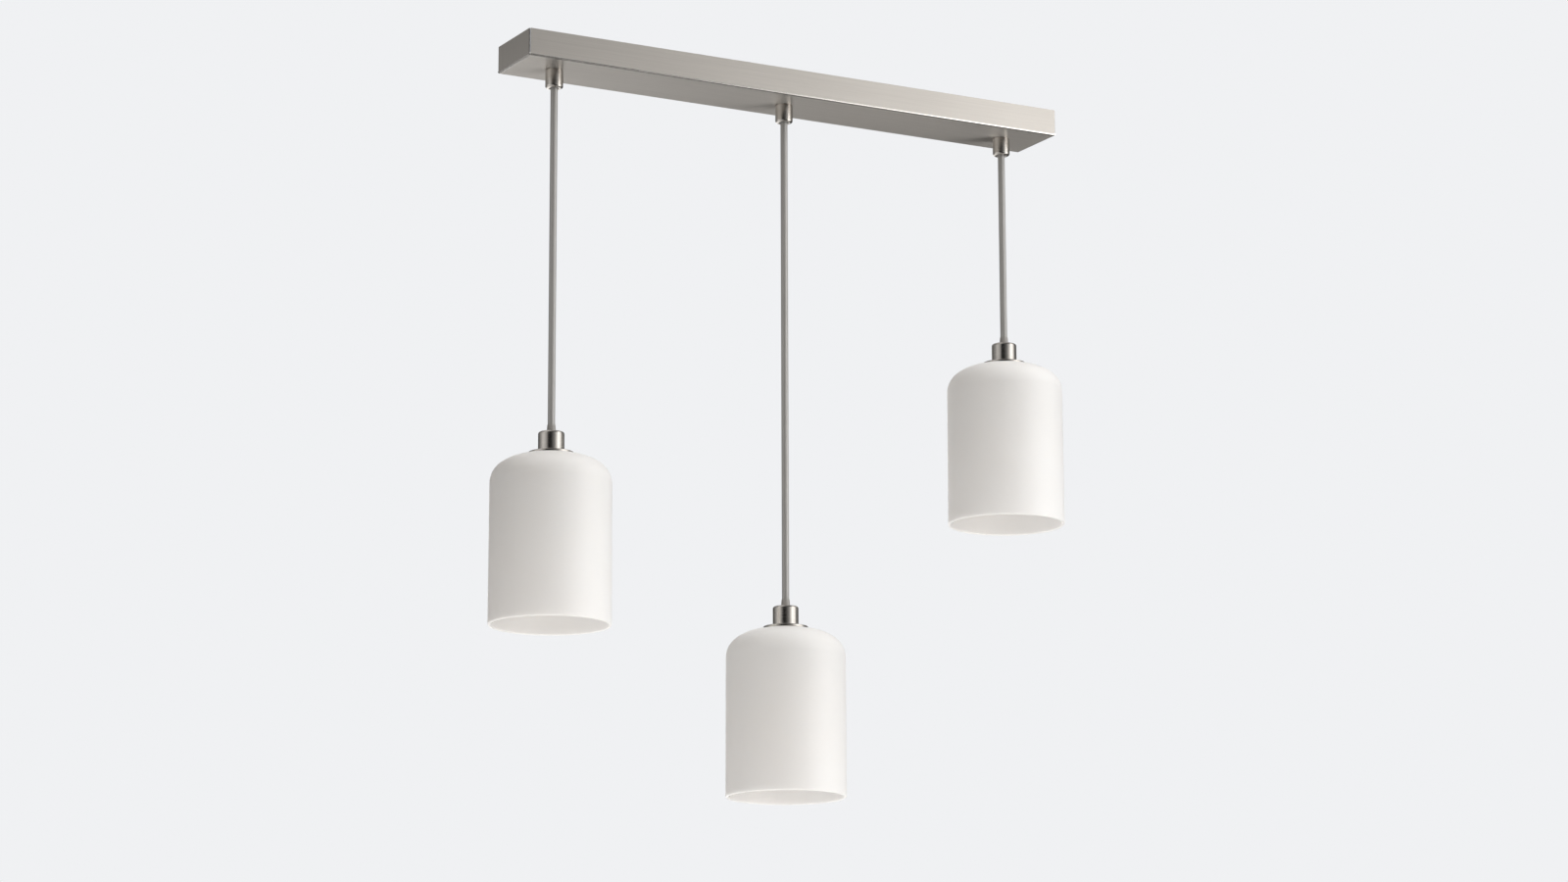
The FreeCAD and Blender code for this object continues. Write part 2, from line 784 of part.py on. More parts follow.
def makeConnectors():
    # Three twist-on connectors lie on their sides at the back of the pan, mouths towards the front.
    outer = size["connectorRadius"]
    tip = size["connectorTip"]
    edge = size["connectorEdge"]
    length = size["connectorLength"]
    body = turned("wire_connectors", [
        (0, 0), (outer, 0), (outer, size["connectorSkirt"]), (tip, length - edge),
        (tip - edge, length, edge), (0, length)])
    inRow(body, "X_Axis", size["connectorStep"] * 2, 3)
    turnAboutX(body, -90)
    place(body, -size["connectorsLeft"], mouthY, connectorZ)
    return body


def tubeAlong(points, radius):
    # A round wire along straight runs joined by tangent arcs, each as large as its two runs allow.
    share = 0.45
    points = [FreeCAD.Vector(*point) for point in points]
    edges = []
    start = points[0]
    smallest = None
    for index in range(1, len(points) - 1):
        before = points[index] - points[index - 1]
        after = points[index + 1] - points[index]
        turn = before.getAngle(after)
        shorter = min(before.Length, after.Length)
        reach = share * shorter
        bend = reach / math.tan(turn / 2)
        smallest = bend if smallest is None else min(smallest, bend)
        into = points[index] - before.normalize() * reach
        out = points[index] + after.normalize() * reach
        toMiddle = (into + out) * 0.5 - points[index]
        centreReach = math.hypot(bend, reach)
        middle = points[index] + toMiddle.normalize() * (centreReach - bend)
        edges.append(Part.LineSegment(start, into).toShape())
        edges.append(Part.Arc(into, middle, out).toShape())
        start = out
    edges.append(Part.LineSegment(start, points[-1]).toShape())
    path = Part.Wire(edges)
    along = (points[1] - points[0]).normalize()
    ring = Part.Wire(Part.Circle(points[0], along, radius).toShape())
    tube = path.makePipeShell([ring], True, True)
    expected = math.pi * radius * radius * path.Length
    tolerance = 0.02
    if abs(tube.Volume - expected) > tolerance * expected:
        raise RuntimeError("a wire's volume is off")
    return tube, path.Length, smallest


# Hand-chosen wire routes. Each has the wire's angle round the cord, the height that it rises to, and its
# points: places along the bar are counted from the wire's own pendant, and heights from the pan's floor.
wireKinds = ("live", "neutral", "earth")
wireRuns = {
    "left": {
        "live": (90, 17, [
            (6, 1.9, 22), (17, 1, 22), (30, 0, 13), (44, -1, 4.5), (62, -2, 1.9), (100, -1, 2.3),
            (140, -2.2, 1.9), (168.6, -1.5, 3)]),
        "neutral": (210, 18.5, [
            (4.5, -1.6, 24), (16, -3, 23.5), (29, -5, 14), (43, -6.5, 5), (61, -7.2, 1.9), (105, -6.4, 2.3),
            (150, -7.4, 1.9), (180, -6.8, 2.2), (195.6, -5.5, 3.2)]),
        "earth": (330, 15.5, [
            (7, -3.5, 19.5), (17, -7, 18.5), (29, -10, 11.5), (43, -12, 4.5), (61, -12.7, 1.9),
            (108, -11.9, 2.3), (155, -12.9, 1.9), (198, -12.2, 2.3), (222.6, -11.5, 3), (231, -3, 5.5)]),
    },
    "middle": {
        "live": (330, 17, [
            (-4, -4, 22), (-18, -7, 22.5), (-42, -8, 21.5), (-66, -7, 19), (-84, -3, 15)]),
        "neutral": (210, 15.5, [
            (-7, -1.5, 19.5), (-20, -2.5, 19.5), (-38, -3, 18.5), (-56, -1, 15)]),
        "earth": (90, 15, [(-6, 3, 19), (-17, 2.5, 18.5), (-28, 1.5, 15)]),
    },
    "right": {
        "live": (210, 15.5, [
            (-7, -4, 19.5), (-17, -9, 18.5), (-29, -15, 11.5), (-43, -19.5, 4.5), (-61, -22.5, 1.9),
            (-108, -23.5, 2.4), (-158, -22.5, 1.9), (-212, -23.5, 2.3), (-262, -22.5, 1.9),
            (-308, -23.5, 2.6), (-334, -22, 5), (-348, -17, 7.5), (-355, -8, 8.4)]),
        "neutral": (330, 18.5, [
            (-4, -2.5, 24), (-16, -6, 23.5), (-29, -10.5, 14), (-43, -14.5, 5), (-61, -17.5, 1.9),
            (-108, -18.5, 2.3), (-158, -17.5, 1.9), (-212, -18.5, 2.3), (-262, -17.5, 1.9),
            (-300, -18.5, 3.2), (-318.6, -17.5, 5.4), (-327, -9, 7.8)]),
        "earth": (90, 17, [
            (-6, 1, 22), (-17, -2, 22), (-30, -6, 13), (-44, -10, 4.5), (-62, -13, 1.9), (-110, -14.5, 2.4),
            (-160, -13.5, 1.9), (-214, -14.5, 2.3), (-262, -13.5, 2), (-290.6, -13.5, 2.8),
            (-299, -5.5, 5)]),
    },
}


def wireRoute(side, kind, slip):
    # Up out of the cord's cut end, along the hand-chosen run, and square into the connector.
    angle, rise, points = wireRuns[side][kind]
    x0 = sides[side][0].value
    floor = panFloor.value
    top = (panBottom + gripStackTop() + size["gripNippleSpare"] + size["cordTailSpare"]).value
    startX = x0 + size["wireCircle"].value * math.cos(math.radians(angle))
    startY = size["wireCircle"].value * math.sin(math.radians(angle))
    mouthX = (size["connectorStep"] * wireKinds.index(kind) - size["connectorsLeft"]).value + slip
    lead = mouthY - size["wireLead"]
    route = [(startX, startY, top), (startX, startY, floor + rise)]
    route += [(x0 + x, y, floor + z) for x, y, z in points]
    route += [(mouthX, lead.value, connectorZ.value), (mouthX, mouthY.value, connectorZ.value)]
    return route


def makeWires(kind):
    # The wire of this kind from each of the three cords, side by side in their connector's mouth.
    spread = 2 * size["wireRadius"].value + 2 * size["fitGap"].value
    slips = {"left": -spread, "middle": 0, "right": spread}
    tubes = []
    for side, slip in slips.items():
        tube, length, smallest = tubeAlong(wireRoute(side, kind, slip), size["wireRadius"].value)
        print(f"{kind} wire {side}: {length:.0f} mm, tightest bend {smallest:.1f} mm")
        tubes.append(tube)
    item = keep(kind + "_wires", doc.addObject("Part::Feature", kind + "_wires"))
    item.Shape = Part.makeCompound(tubes)
    return item


makeCanopyPan()
makeCeilingBracket()
makeCanopyScrews()
makeGroundScrew()
makeGripNipples()
makeGripWashers()
makeGripNuts()
makeGripCollets()
makeCordTails()
makeConnectors()
for kind in wireKinds:
    makeWires(kind)
for side in sides:
    makeCordGrip(side)
    makeCordNeck(side)
    makeCord(side)
    makeStrainRelief(side)
    makeCordEnd(side)
    makeSocketCap(side)
    makeHolderDisc(side)
    makeGasket(side)
    makeLampNipple(side)
    makeLampNut(side)
    makeLampHolder(side)
    makeScrewShell(side)
    makeCentreContact(side)
    makeShadeRing(side)
    makeGlassShade(side)
doc.recompute()

for item in doc.Objects:
    if "Invalid" in item.State or "Error" in item.State:
        raise RuntimeError(f"{item.Label} failed: {item.State}")
for label, item in nodes.items():
    if item.Shape.isNull() or not item.Shape.isValid() or not item.Shape.Solids:
        raise RuntimeError(f"{label} has no valid shape")

os.makedirs("parts", exist_ok=True)
for label, item in nodes.items():
    item.Shape.exportStep(f"parts/{label}.step")
    print(f"{label}: {len(item.Shape.Solids)} solids, {item.Shape.Volume:.0f} mm3")
print(f"{len(nodes)} nodes")
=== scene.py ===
# Looks of the linear island pendant: a satin nickel bar on the ceiling, three braided cords, three opal glass
# lamps. Metres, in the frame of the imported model: X along the bar, Y away from the viewer, Z up, ceiling at z = 0.
# The sizes of the pieces are in millimetres, and functions read them in the order of their settings.
import math

import bmesh
import bpy
import numpy as np
from mathutils import Matrix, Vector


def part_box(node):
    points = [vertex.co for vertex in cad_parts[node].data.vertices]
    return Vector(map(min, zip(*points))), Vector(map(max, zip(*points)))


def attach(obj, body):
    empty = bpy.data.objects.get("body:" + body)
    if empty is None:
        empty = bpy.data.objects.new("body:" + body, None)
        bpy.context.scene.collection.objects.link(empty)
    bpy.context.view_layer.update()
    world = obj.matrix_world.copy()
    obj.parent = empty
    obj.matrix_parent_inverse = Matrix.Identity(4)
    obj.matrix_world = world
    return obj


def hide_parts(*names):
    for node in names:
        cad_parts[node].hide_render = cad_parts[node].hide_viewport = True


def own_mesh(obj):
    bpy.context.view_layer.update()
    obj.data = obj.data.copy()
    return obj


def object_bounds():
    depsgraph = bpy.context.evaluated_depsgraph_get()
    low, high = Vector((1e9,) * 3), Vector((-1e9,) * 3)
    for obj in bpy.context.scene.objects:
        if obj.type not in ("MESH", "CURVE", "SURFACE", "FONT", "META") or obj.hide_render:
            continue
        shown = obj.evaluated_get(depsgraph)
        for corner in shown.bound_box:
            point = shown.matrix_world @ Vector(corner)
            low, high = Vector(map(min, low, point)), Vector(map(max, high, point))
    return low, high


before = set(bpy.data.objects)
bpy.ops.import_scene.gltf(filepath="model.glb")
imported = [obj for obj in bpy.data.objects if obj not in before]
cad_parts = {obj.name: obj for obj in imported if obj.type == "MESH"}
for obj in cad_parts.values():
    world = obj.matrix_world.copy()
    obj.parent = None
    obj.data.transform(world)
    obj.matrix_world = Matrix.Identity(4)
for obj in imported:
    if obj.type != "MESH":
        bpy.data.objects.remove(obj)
cadLow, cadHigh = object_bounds()
mm = 0.001
sides = ("left", "middle", "right")
print("frame loaded:", len(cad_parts), "nodes")


# The photograph's point of view: place in metres, turns in radians, lens, sensor, and how near and far it sees.
cameraSettings = {
    "place": (-2.0765, -3.7880, -1.3110), "yaw": -0.5012, "pitch": 0.2101, "roll": 0.00336,
    "lens": 97.884, "sensor": 36.0, "nearest": 0.05, "farthest": 100,
}


def addObject(name, data):
    made = bpy.data.objects.new(name, data)
    bpy.context.collection.objects.link(made)
    return made


def makeCamera():
    # Turned about Z, then tilted up, then rolled, starting from a camera that looks along +Y.
    place, yaw, pitch, roll, lens, sensor, nearest, farthest = cameraSettings.values()
    camera = addObject("pendantCamera", bpy.data.cameras.new("pendantCamera"))
    turn = (Matrix.Rotation(yaw, 4, "Z") @ Matrix.Rotation(pitch, 4, "X")
            @ Matrix.Rotation(roll, 4, "Y") @ Matrix.Rotation(math.pi / 2, 4, "X"))
    camera.matrix_world = Matrix.Translation(place) @ turn
    camera.data.lens, camera.data.sensor_width = lens, sensor
    camera.data.clip_start, camera.data.clip_end = nearest, farthest
    bpy.context.scene.camera = camera


makeCamera()


meshSettings = {
    "weld": 2e-7,           # points of a new surface that lie this close, in metres, become one
    "nodeWeld": 1e-6,       # the same for a CAD node's own surface
    "nodeFlat": 0.5,        # faces of a CAD node that turn by less, in degrees, become one
    "nodeSharp": 30,
}


def tidyMesh(mesh, weld, sharpDegrees, flat=0):
    # Joins equal points. A CAD node's flat faces are merged; a new surface's faces are turned outwards by the sign
    # of the volume. Only real edges stay sharp.
    work = bmesh.new()
    work.from_mesh(mesh)
    bmesh.ops.remove_doubles(work, verts=work.verts, dist=weld)
    if flat:
        bmesh.ops.dissolve_limit(work, angle_limit=math.radians(flat), verts=work.verts, edges=work.edges)
    elif work.calc_volume(signed=True) < 0:
        bmesh.ops.reverse_faces(work, faces=work.faces)
    work.to_mesh(mesh)
    work.free()
    mesh.shade_smooth()
    mesh.set_sharp_from_angle(angle=math.radians(sharpDegrees))
    return mesh


def corners(grid):
    # The four values at the corners of every cell of a grid, in order round the cell.
    return np.stack([grid[:-1, :-1], grid[:-1, 1:], grid[1:, 1:], grid[1:, :-1]], axis=2)


def quadMesh(name, points, loop):
    # Rows and columns of points become quads. A looped direction joins its last line to its first.
    index = np.arange(points.size // 3).reshape(points.shape[:2])
    if loop[0]:
        index = np.concatenate([index, index[:1]], axis=0)
    if loop[1]:
        index = np.concatenate([index, index[:, :1]], axis=1)
    mesh = bpy.data.meshes.new(name)
    mesh.from_pydata(points.reshape(-1, 3).tolist(), [], corners(index).reshape(-1, 4).tolist())
    return mesh


def gridMesh(name, points, loop, uv, sharpDegrees):
    # The map holds one more line in each looped direction, so that the pattern doesn't run backwards there.
    mesh = quadMesh(name, points, loop)
    layer = mesh.uv_layers.new(name="grain")
    layer.data.foreach_set("uv", corners(uv).reshape(-1).astype(np.float32))
    return tidyMesh(mesh, meshSettings["weld"], sharpDegrees)


def roundedOutline(rows, steps=5, closed=True):
    # Rows of (radius, height, rounding). A rounded corner becomes an arc that touches both of its sides: it starts
    # before the corner by rounding times the tangent of half the turn. A point a little outside each end of an
    # arc keeps the flats flat.
    rows = np.asarray(rows, float)
    corner, bend = rows[:, :2], rows[:, 2].copy()
    if not closed:
        bend[[0, -1]] = 0
    before = corner - np.roll(corner, 1, axis=0)
    after = np.roll(corner, -1, axis=0) - corner
    before /= np.maximum(np.linalg.norm(before, axis=1, keepdims=True), 1e-9)
    after /= np.maximum(np.linalg.norm(after, axis=1, keepdims=True), 1e-9)
    turn = np.arctan2(before[:, 0] * after[:, 1] - before[:, 1] * after[:, 0], (before * after).sum(1))
    back = bend * np.tan(np.abs(turn) / 2)
    start = corner - before * back[:, None]
    inward = np.stack([-before[:, 1], before[:, 0]], axis=1) * np.sign(turn)[:, None]
    centre = start + inward * bend[:, None]
    swing = turn[:, None] * np.linspace(0, 1, steps + 1)
    arm = start - centre
    x = centre[:, :1] + arm[:, :1] * np.cos(swing) - arm[:, 1:] * np.sin(swing)
    y = centre[:, 1:] + arm[:, :1] * np.sin(swing) + arm[:, 1:] * np.cos(swing)
    guard = 0.25 * back[:, None]
    first = start - before * guard
    last = corner + after * (back[:, None] + guard)
    line = np.concatenate([first[:, None], np.stack([x, y], axis=-1), last[:, None]], axis=1).reshape(-1, 2)
    apart = np.linalg.norm(line - np.roll(line, 1, axis=0), axis=1) > 1e-6
    apart[0] = True
    return line[apart]


def finer(line, longest):
    # Adds points on the straight runs of a line, so that none is longer than the given length.
    step = np.linalg.norm(np.diff(line, axis=0), axis=1)
    parts = np.maximum(1, np.ceil(step / longest - 1e-6)).astype(int)
    start = np.repeat(np.arange(len(step)), parts)
    share = (np.arange(parts.sum()) - np.repeat(np.cumsum(parts) - parts, parts)) / np.repeat(parts, parts)
    body = line[start] + (line[start + 1] - line[start]) * share[:, None]
    return np.concatenate([body, line[-1:]])


def turnedPoints(outline, columns, ripple):
    # The outline (radius, height) goes once round an axis: x = r cos a, y = r sin a. A ripple is added to the
    # radius, as a function of the angle, the radius and the height.
    angle = np.linspace(0, 2 * math.pi, columns, endpoint=False)[None, :]
    radius = np.repeat(outline[:, :1], columns, axis=1)
    height = np.repeat(outline[:, 1:], columns, axis=1)
    if ripple is not None:
        radius = radius + ripple(angle, radius, height)
    return radius * np.cos(angle), radius * np.sin(angle), height


def placed(x, y, height, centre, axis):
    # The turning axis becomes z, y, or z upside down, and millimetres become metres round the centre.
    order = {"z": (x, y, height), "y": (x, height, y), "-z": (x, y, -height)}[axis]
    return np.stack(order, axis=-1) * mm + np.asarray(centre)


def turnedMesh(name, outline, centre, columns, ripple=None, closed=True, axis="z", sharpDegrees=40):
    # The map of a turned piece, in metres: u goes round at its largest radius, v along the outline.
    points = placed(*turnedPoints(outline, columns, ripple), centre, axis)
    line = np.concatenate([outline, outline[:1]]) if closed else outline
    along = np.concatenate([[0], np.cumsum(np.linalg.norm(np.diff(line, axis=0), axis=1))]) * mm
    across = np.linspace(0, 1, columns + 1) * 2 * math.pi * outline[:, 0].max() * mm
    uv = np.stack(np.meshgrid(across, along), axis=-1)
    return gridMesh(name, points, (closed, True), uv, sharpDegrees)


def ringOutline(bore, radius, low, high, inner, outer, steps):
    # The section of a plain ring, its edges rounded at the bore and at the rim.
    return roundedOutline([
        (bore, low, inner), (radius, low, outer), (radius, high, outer), (bore, high, inner)], steps)


def addPiece(name, mesh, body, slot, *nodes):
    # A piece in the finish of its slot, that moves with its body and takes the place of the named CAD nodes.
    piece = addObject(name, mesh)
    piece.data.materials.append(finishes[slot])
    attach(piece, body)
    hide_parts(*nodes)
    return piece


def addTurned(rows, side, body, centre, sharpDegrees):
    # Each row: a piece's name, its outline, whether that is closed, columns, ripple, slot and CAD node.
    for name, outline, closed, columns, ripple, slot, node in rows:
        mesh = turnedMesh(f"{name}_{side}", outline, centre, columns, ripple, closed, sharpDegrees=sharpDegrees)
        addPiece(f"{name}_{side}", mesh, body, slot, node)


def nodeCentre(node):
    low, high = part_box(node)
    return (low + high) / 2


def levels(node):
    # A CAD node's lowest and highest level, in millimetres.
    low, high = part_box(node)
    return low.z / mm, high.z / mm


def readAll(items, name, width, kind=float):
    # The same value of all items of a mesh's list at once, one row for each item where it has several numbers.
    values = np.zeros(len(items) * width, kind)
    items.foreach_get(name, values)
    return values if width == 1 else values.reshape(-1, width)


def nodeCopy(name, node):
    # A CAD node's own surface, joined up, its flat triangles merged.
    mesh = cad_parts[node].data.copy()
    mesh.name = name
    mesh.materials.clear()
    return tidyMesh(mesh, *(meshSettings[key] for key in ("nodeWeld", "nodeSharp", "nodeFlat")))


class Nodes:
    # Short calls that add shader nodes to a tree. A socket is given a node, an output of one, or a plain value.
    def __init__(self, tree):
        self.tree = tree

    def put(self, value, socket):
        if isinstance(value, bpy.types.Node):
            value = value.outputs[0]
        if isinstance(value, bpy.types.NodeSocket):
            self.tree.links.new(value, socket)
        else:
            socket.default_value = (*value, 1.0) if socket.type == "RGBA" and len(value) == 3 else value

    def fill(self, node, *values, **named):
        for index, value in enumerate(values):
            self.put(value, node.inputs[index])
        for name, value in named.items():
            self.put(value, node.inputs[name.replace("_", " ")])
        return node

    def add(self, kind, *values, **named):
        return self.fill(self.tree.nodes.new(f"ShaderNode{kind}"), *values, **named)

    def math(self, operation, *values):
        node = self.add("Math")
        node.operation = operation
        return self.fill(node, *values).outputs["Value"]

    def mixed(self, first, share, second, rest):
        return self.math("ADD", self.math("MULTIPLY", first, share), self.math("MULTIPLY", second, rest))

    def seenRay(self):
        # 1 for what the camera sees, straight, in a reflection or through a clear surface.
        path = self.add("LightPath").outputs
        straight = self.math("MAXIMUM", path["Is Camera Ray"], path["Is Glossy Ray"])
        return self.math("MAXIMUM", straight, path["Is Transmission Ray"])


class Finish(Nodes):
    # A material with its Principled shader, and the patterns that its looks are made of.
    def __init__(self, name, **sockets):
        self.material = bpy.data.materials.new(name)
        self.material.use_nodes = True
        super().__init__(self.material.node_tree)
        self.shader = self.fill(self.tree.nodes["Principled BSDF"], **sockets)

    def grainMap(self):
        node = self.add("UVMap")
        node.uv_map = "grain"
        return node

    def place(self, kind="Object", scale=(1, 1, 1)):
        # Where a point lies on the object, or on the map, times the scale.
        source = self.grainMap() if kind == "UV" else self.add("TexCoord").outputs["Object"]
        return self.add("Mapping", Vector=source, Scale=scale)

    def noise(self, where, scale, detail, roughness):
        return self.add("TexNoise", Vector=where, Scale=scale, Detail=detail, Roughness=roughness).outputs["Fac"]

    def ramp(self, source, stops):
        # Stops are (place, value or colour).
        node = self.add("ValToRGB", Fac=source)
        elements = node.color_ramp.elements
        while len(elements) < len(stops):
            elements.new(0.5)
        for element, (where, value) in zip(elements, stops):
            element.position = where
            element.color = (*value, 1.0) if isinstance(value, tuple) else (value, value, value, 1.0)
        return node.outputs["Color"]

    def bump(self, height, strength, distance):
        return self.add("Bump", Height=height, Strength=strength, Distance=distance).outputs["Normal"]

    def dress(self, tone, colours, rub, gloss, height, strength, distance):
        # Colour and roughness follow their tables over the given patterns; the heights make the fine relief.
        self.fill(self.shader, Base_Color=self.ramp(tone, colours), Roughness=self.ramp(rub, gloss),
                  Normal=self.bump(height, strength, distance))
        return self.material

    def stretchAlongGrain(self):
        node = self.add("Tangent")
        node.direction_type = "UV_MAP"
        node.uv_map = "grain"
        self.fill(self.shader, Tangent=node)


foldSettings = {
    "reach": 4.0,           # how far from a fold its lines may lie
    "span": 8.0,            # stretch over the fold that the two tables below cover from 0 to 1
    # tone is added to the sheet's colour: 0 is a painted dark line and 1 a painted highlight, standing in for the
    # fold's reflection
    "tone": [(0.20, 0.5), (0.27, 0.0), (0.47, 0.0), (0.50, 1.0), (0.64, 1.0), (0.70, 0.5)],     # 0 dull, 1 bright
    "rubbed": [(0.22, 0.0), (0.32, 1.0), (0.66, 1.0), (0.76, 0.0)],
    "smoother": -0.55,      # share of the roughness that the rubbing takes away
}


def paintedFoldLight(finish, box):
    # Where the sheet is folded it is rubbed smoother, and its colour gets a painted highlight on the outer side of
    # the fold and a painted dark line past it, the same at the upright corners. How far a point lies in from one
    # face less how far in from the other runs steadily over the fold between them.
    split = finish.add("SeparateXYZ", finish.place()).outputs
    low, high = box
    inX = finish.math("SUBTRACT", high.x, finish.math("ABSOLUTE", split["X"]))
    inY = finish.math("SUBTRACT", high.y, finish.math("ABSOLUTE", split["Y"]))
    inZ = finish.math("SUBTRACT", split["Z"], low.z)
    tone, rub = 0.0, 0.0
    for first, second in ((inZ, inY), (inX, inY), (inZ, inX)):
        near = finish.math("LESS_THAN", finish.math("ADD", first, second), foldSettings["reach"] * mm)
        apart = finish.math("SUBTRACT", first, second)
        over = finish.math("MULTIPLY_ADD", apart, 1 / (foldSettings["span"] * mm), 0.5)
        line = finish.math("SUBTRACT", finish.ramp(over, foldSettings["tone"]), 0.5)
        tone = finish.math("MULTIPLY_ADD", line, near, tone)
        worn = finish.math("MULTIPLY", finish.ramp(over, foldSettings["rubbed"]), near)
        rub = finish.math("MAXIMUM", worn, rub)
    return tone, rub


nickelSettings = {"tone": (0.58, 0.545, 0.503), "light": (0.62, 0.585, 0.541)}


def makeBrushedSheet():
    # Long fine scratches along the grain, with a faint cloudiness in the plating, and a painted highlight and a
    # painted dark line along the folds and corners.
    finish = Finish("brushedSheet", Base_Color=nickelSettings["tone"], Metallic=1.0, Roughness=0.45,
                    Anisotropic=0.85, Anisotropic_Rotation=0.25)
    fine = finish.noise(finish.place("UV", (5, 900, 1)), 2.0, 4.0, 0.65)
    broad = finish.noise(finish.place("UV", (2.2, 160, 1)), 2.0, 3.0, 0.6)
    cloud = finish.noise(finish.place(), 9.0, 2.0, 0.5)
    lines = finish.mixed(fine, 0.6, broad, 0.4)
    tone, rub = paintedFoldLight(finish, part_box("canopy_pan"))
    rough = finish.ramp(finish.mixed(lines, 0.7, cloud, 0.3), [(0.3, 0.40), (0.75, 0.50)])
    finish.fill(
        finish.shader,
        # The fold tone adds its painted highlight and painted dark line here; the lowest and highest stops are
        # reached only along the folds.
        Base_Color=finish.ramp(finish.math("ADD", lines, tone), [
            (0.0, (0.27, 0.257, 0.24)), (0.3, (0.518, 0.487, 0.448)), (0.7, nickelSettings["light"]),
            (1.0, (0.99, 0.955, 0.90))]),
        Roughness=finish.math("MULTIPLY", rough, finish.math("MULTIPLY_ADD", rub, foldSettings["smoother"], 1.0)),
        Normal=finish.bump(lines, 0.10, 0.0004))
    finish.stretchAlongGrain()
    return finish.material


def makeTurnedNickel():
    # Fine lines round the piece from the lathe and the brushing wheel.
    finish = Finish("turnedNickel", Base_Color=nickelSettings["tone"], Metallic=1.0, Roughness=0.24,
                    Anisotropic=0.5, Anisotropic_Rotation=0.25)
    finish.stretchAlongGrain()
    rings = finish.noise(finish.place("UV", (12, 2600, 1)), 1.0, 4.0, 0.6)
    cloud = finish.noise(finish.place(), 60.0, 2.0, 0.5)
    return finish.dress(
        rings, [(0.3, (0.525, 0.493, 0.455)), (0.7, nickelSettings["light"])],
        finish.mixed(rings, 0.6, cloud, 0.4), [(0.3, 0.18), (0.75, 0.30)], rings, 0.12, 0.00012)


def makeZincPlate():
    # Bluish zinc with crystal patches and a few dull stains.
    finish = Finish("zincPlate", Base_Color=(0.55, 0.56, 0.57), Metallic=1.0, Roughness=0.4)
    where = finish.place()
    patch = finish.add("TexVoronoi", Vector=where, Scale=240.0, Randomness=1.0).outputs["Color"]
    stain = finish.noise(where, 45.0, 4.0, 0.6)
    mixed = finish.mixed(patch, 0.35, stain, 0.65)
    return finish.dress(
        mixed, [(0.25, (0.42, 0.43, 0.43)), (0.5, (0.56, 0.57, 0.58)), (0.8, (0.64, 0.65, 0.66))],
        mixed, [(0.25, 0.52), (0.8, 0.32)], stain, 0.08, 0.0003)


def makeGreenPaint():
    # Green earth marking, worn through in small spots.
    finish = Finish("greenPaint", Base_Color=(0.03, 0.28, 0.09), Metallic=0.55, Roughness=0.35)
    wear = finish.noise(finish.place(), 900.0, 4.0, 0.6)
    return finish.dress(
        wear, [(0.3, (0.02, 0.20, 0.06)), (0.62, (0.035, 0.31, 0.10)), (0.72, (0.45, 0.47, 0.42))],
        wear, [(0.3, 0.30), (0.75, 0.5)], wear, 0.1, 0.0001)


def makeBrass():
    # Drawn brass with a light tarnish.
    finish = Finish("satinBrass", Base_Color=(0.72, 0.53, 0.25), Metallic=1.0, Roughness=0.3)
    tarnish = finish.noise(finish.place(), 120.0, 4.0, 0.6)
    lines = finish.noise(finish.place(scale=(80, 80, 2400)), 1.0, 3.0, 0.6)
    return finish.dress(
        tarnish, [(0.3, (0.52, 0.35, 0.15)), (0.55, (0.72, 0.53, 0.25)), (0.8, (0.80, 0.62, 0.33))],
        tarnish, [(0.3, 0.42), (0.8, 0.24)], lines, 0.1, 0.0001)


def makePlastic(name, dark, light, gloss, grainScale, grainDepth, soft=0.0):
    # Moulded plastic: a fine spark-eroded grain, slight shade changes where the melt cooled, a soft skin.
    finish = Finish(name, Base_Color=light, Roughness=gloss, Subsurface_Weight=soft, Subsurface_Scale=0.002)
    where = finish.place()
    cloud = finish.noise(where, 55.0, 2.0, 0.5)
    grain = finish.noise(where, grainScale, 2.0, 0.5)
    return finish.dress(
        cloud, [(0.3, dark), (0.7, light)], grain, [(0.3, gloss - 0.06), (0.7, gloss + 0.08)],
        grain, 0.25, grainDepth)


def makeBraid():
    # Silver-grey yarns in two crossing spirals, read from the map: u goes round, v along in yarn widths. The gaps
    # between the yarns are lower and get painted shade.
    finish = Finish("silverBraid", Base_Color=(0.34, 0.332, 0.318), Metallic=0.4, Roughness=0.45,
                    Coat_Weight=1.0, Coat_Roughness=0.38, Coat_IOR=1.8)
    split = finish.add("SeparateXYZ", finish.grainMap()).outputs
    spirals = [finish.math("SINE", finish.math("MULTIPLY", finish.math(way, split["X"], split["Y"]), 2 * math.pi))
               for way in ("ADD", "SUBTRACT")]
    threads = finish.noise(finish.place("UV", (9, 9, 1)), 1.0, 2.0, 0.6)
    yarnReliefAndShade = finish.mixed(finish.math("MAXIMUM", *spirals), 0.5, threads, 0.6)
    # Low relief gets the dark colour: painted shade in the gaps between the yarns.
    return finish.dress(
        yarnReliefAndShade, [(0.15, (0.17, 0.166, 0.158)), (0.45, (0.34, 0.332, 0.318)), (0.85, (0.46, 0.45, 0.436))],
        threads, [(0.3, 0.42), (0.7, 0.6)], yarnReliefAndShade, 0.5, 0.0002)


def makeOpalGlass():
    # Etched opal glass: white all through, a faint warm cloudiness and a very fine satin grain.
    finish = Finish("opalGlass", Base_Color=(0.90, 0.895, 0.885), Roughness=0.42, IOR=1.5,
                    Subsurface_Weight=1.0, Subsurface_Scale=0.012, Subsurface_Radius=(1.0, 0.97, 0.94))
    where = finish.place()
    cloud = finish.noise(where, 7.0, 2.0, 0.5)
    grain = finish.noise(where, 2600.0, 2.0, 0.5)
    return finish.dress(
        cloud, [(0.35, (0.895, 0.88, 0.865)), (0.65, (0.905, 0.905, 0.898))],
        grain, [(0.3, 0.38), (0.7, 0.48)], grain, 0.12, 0.00005)


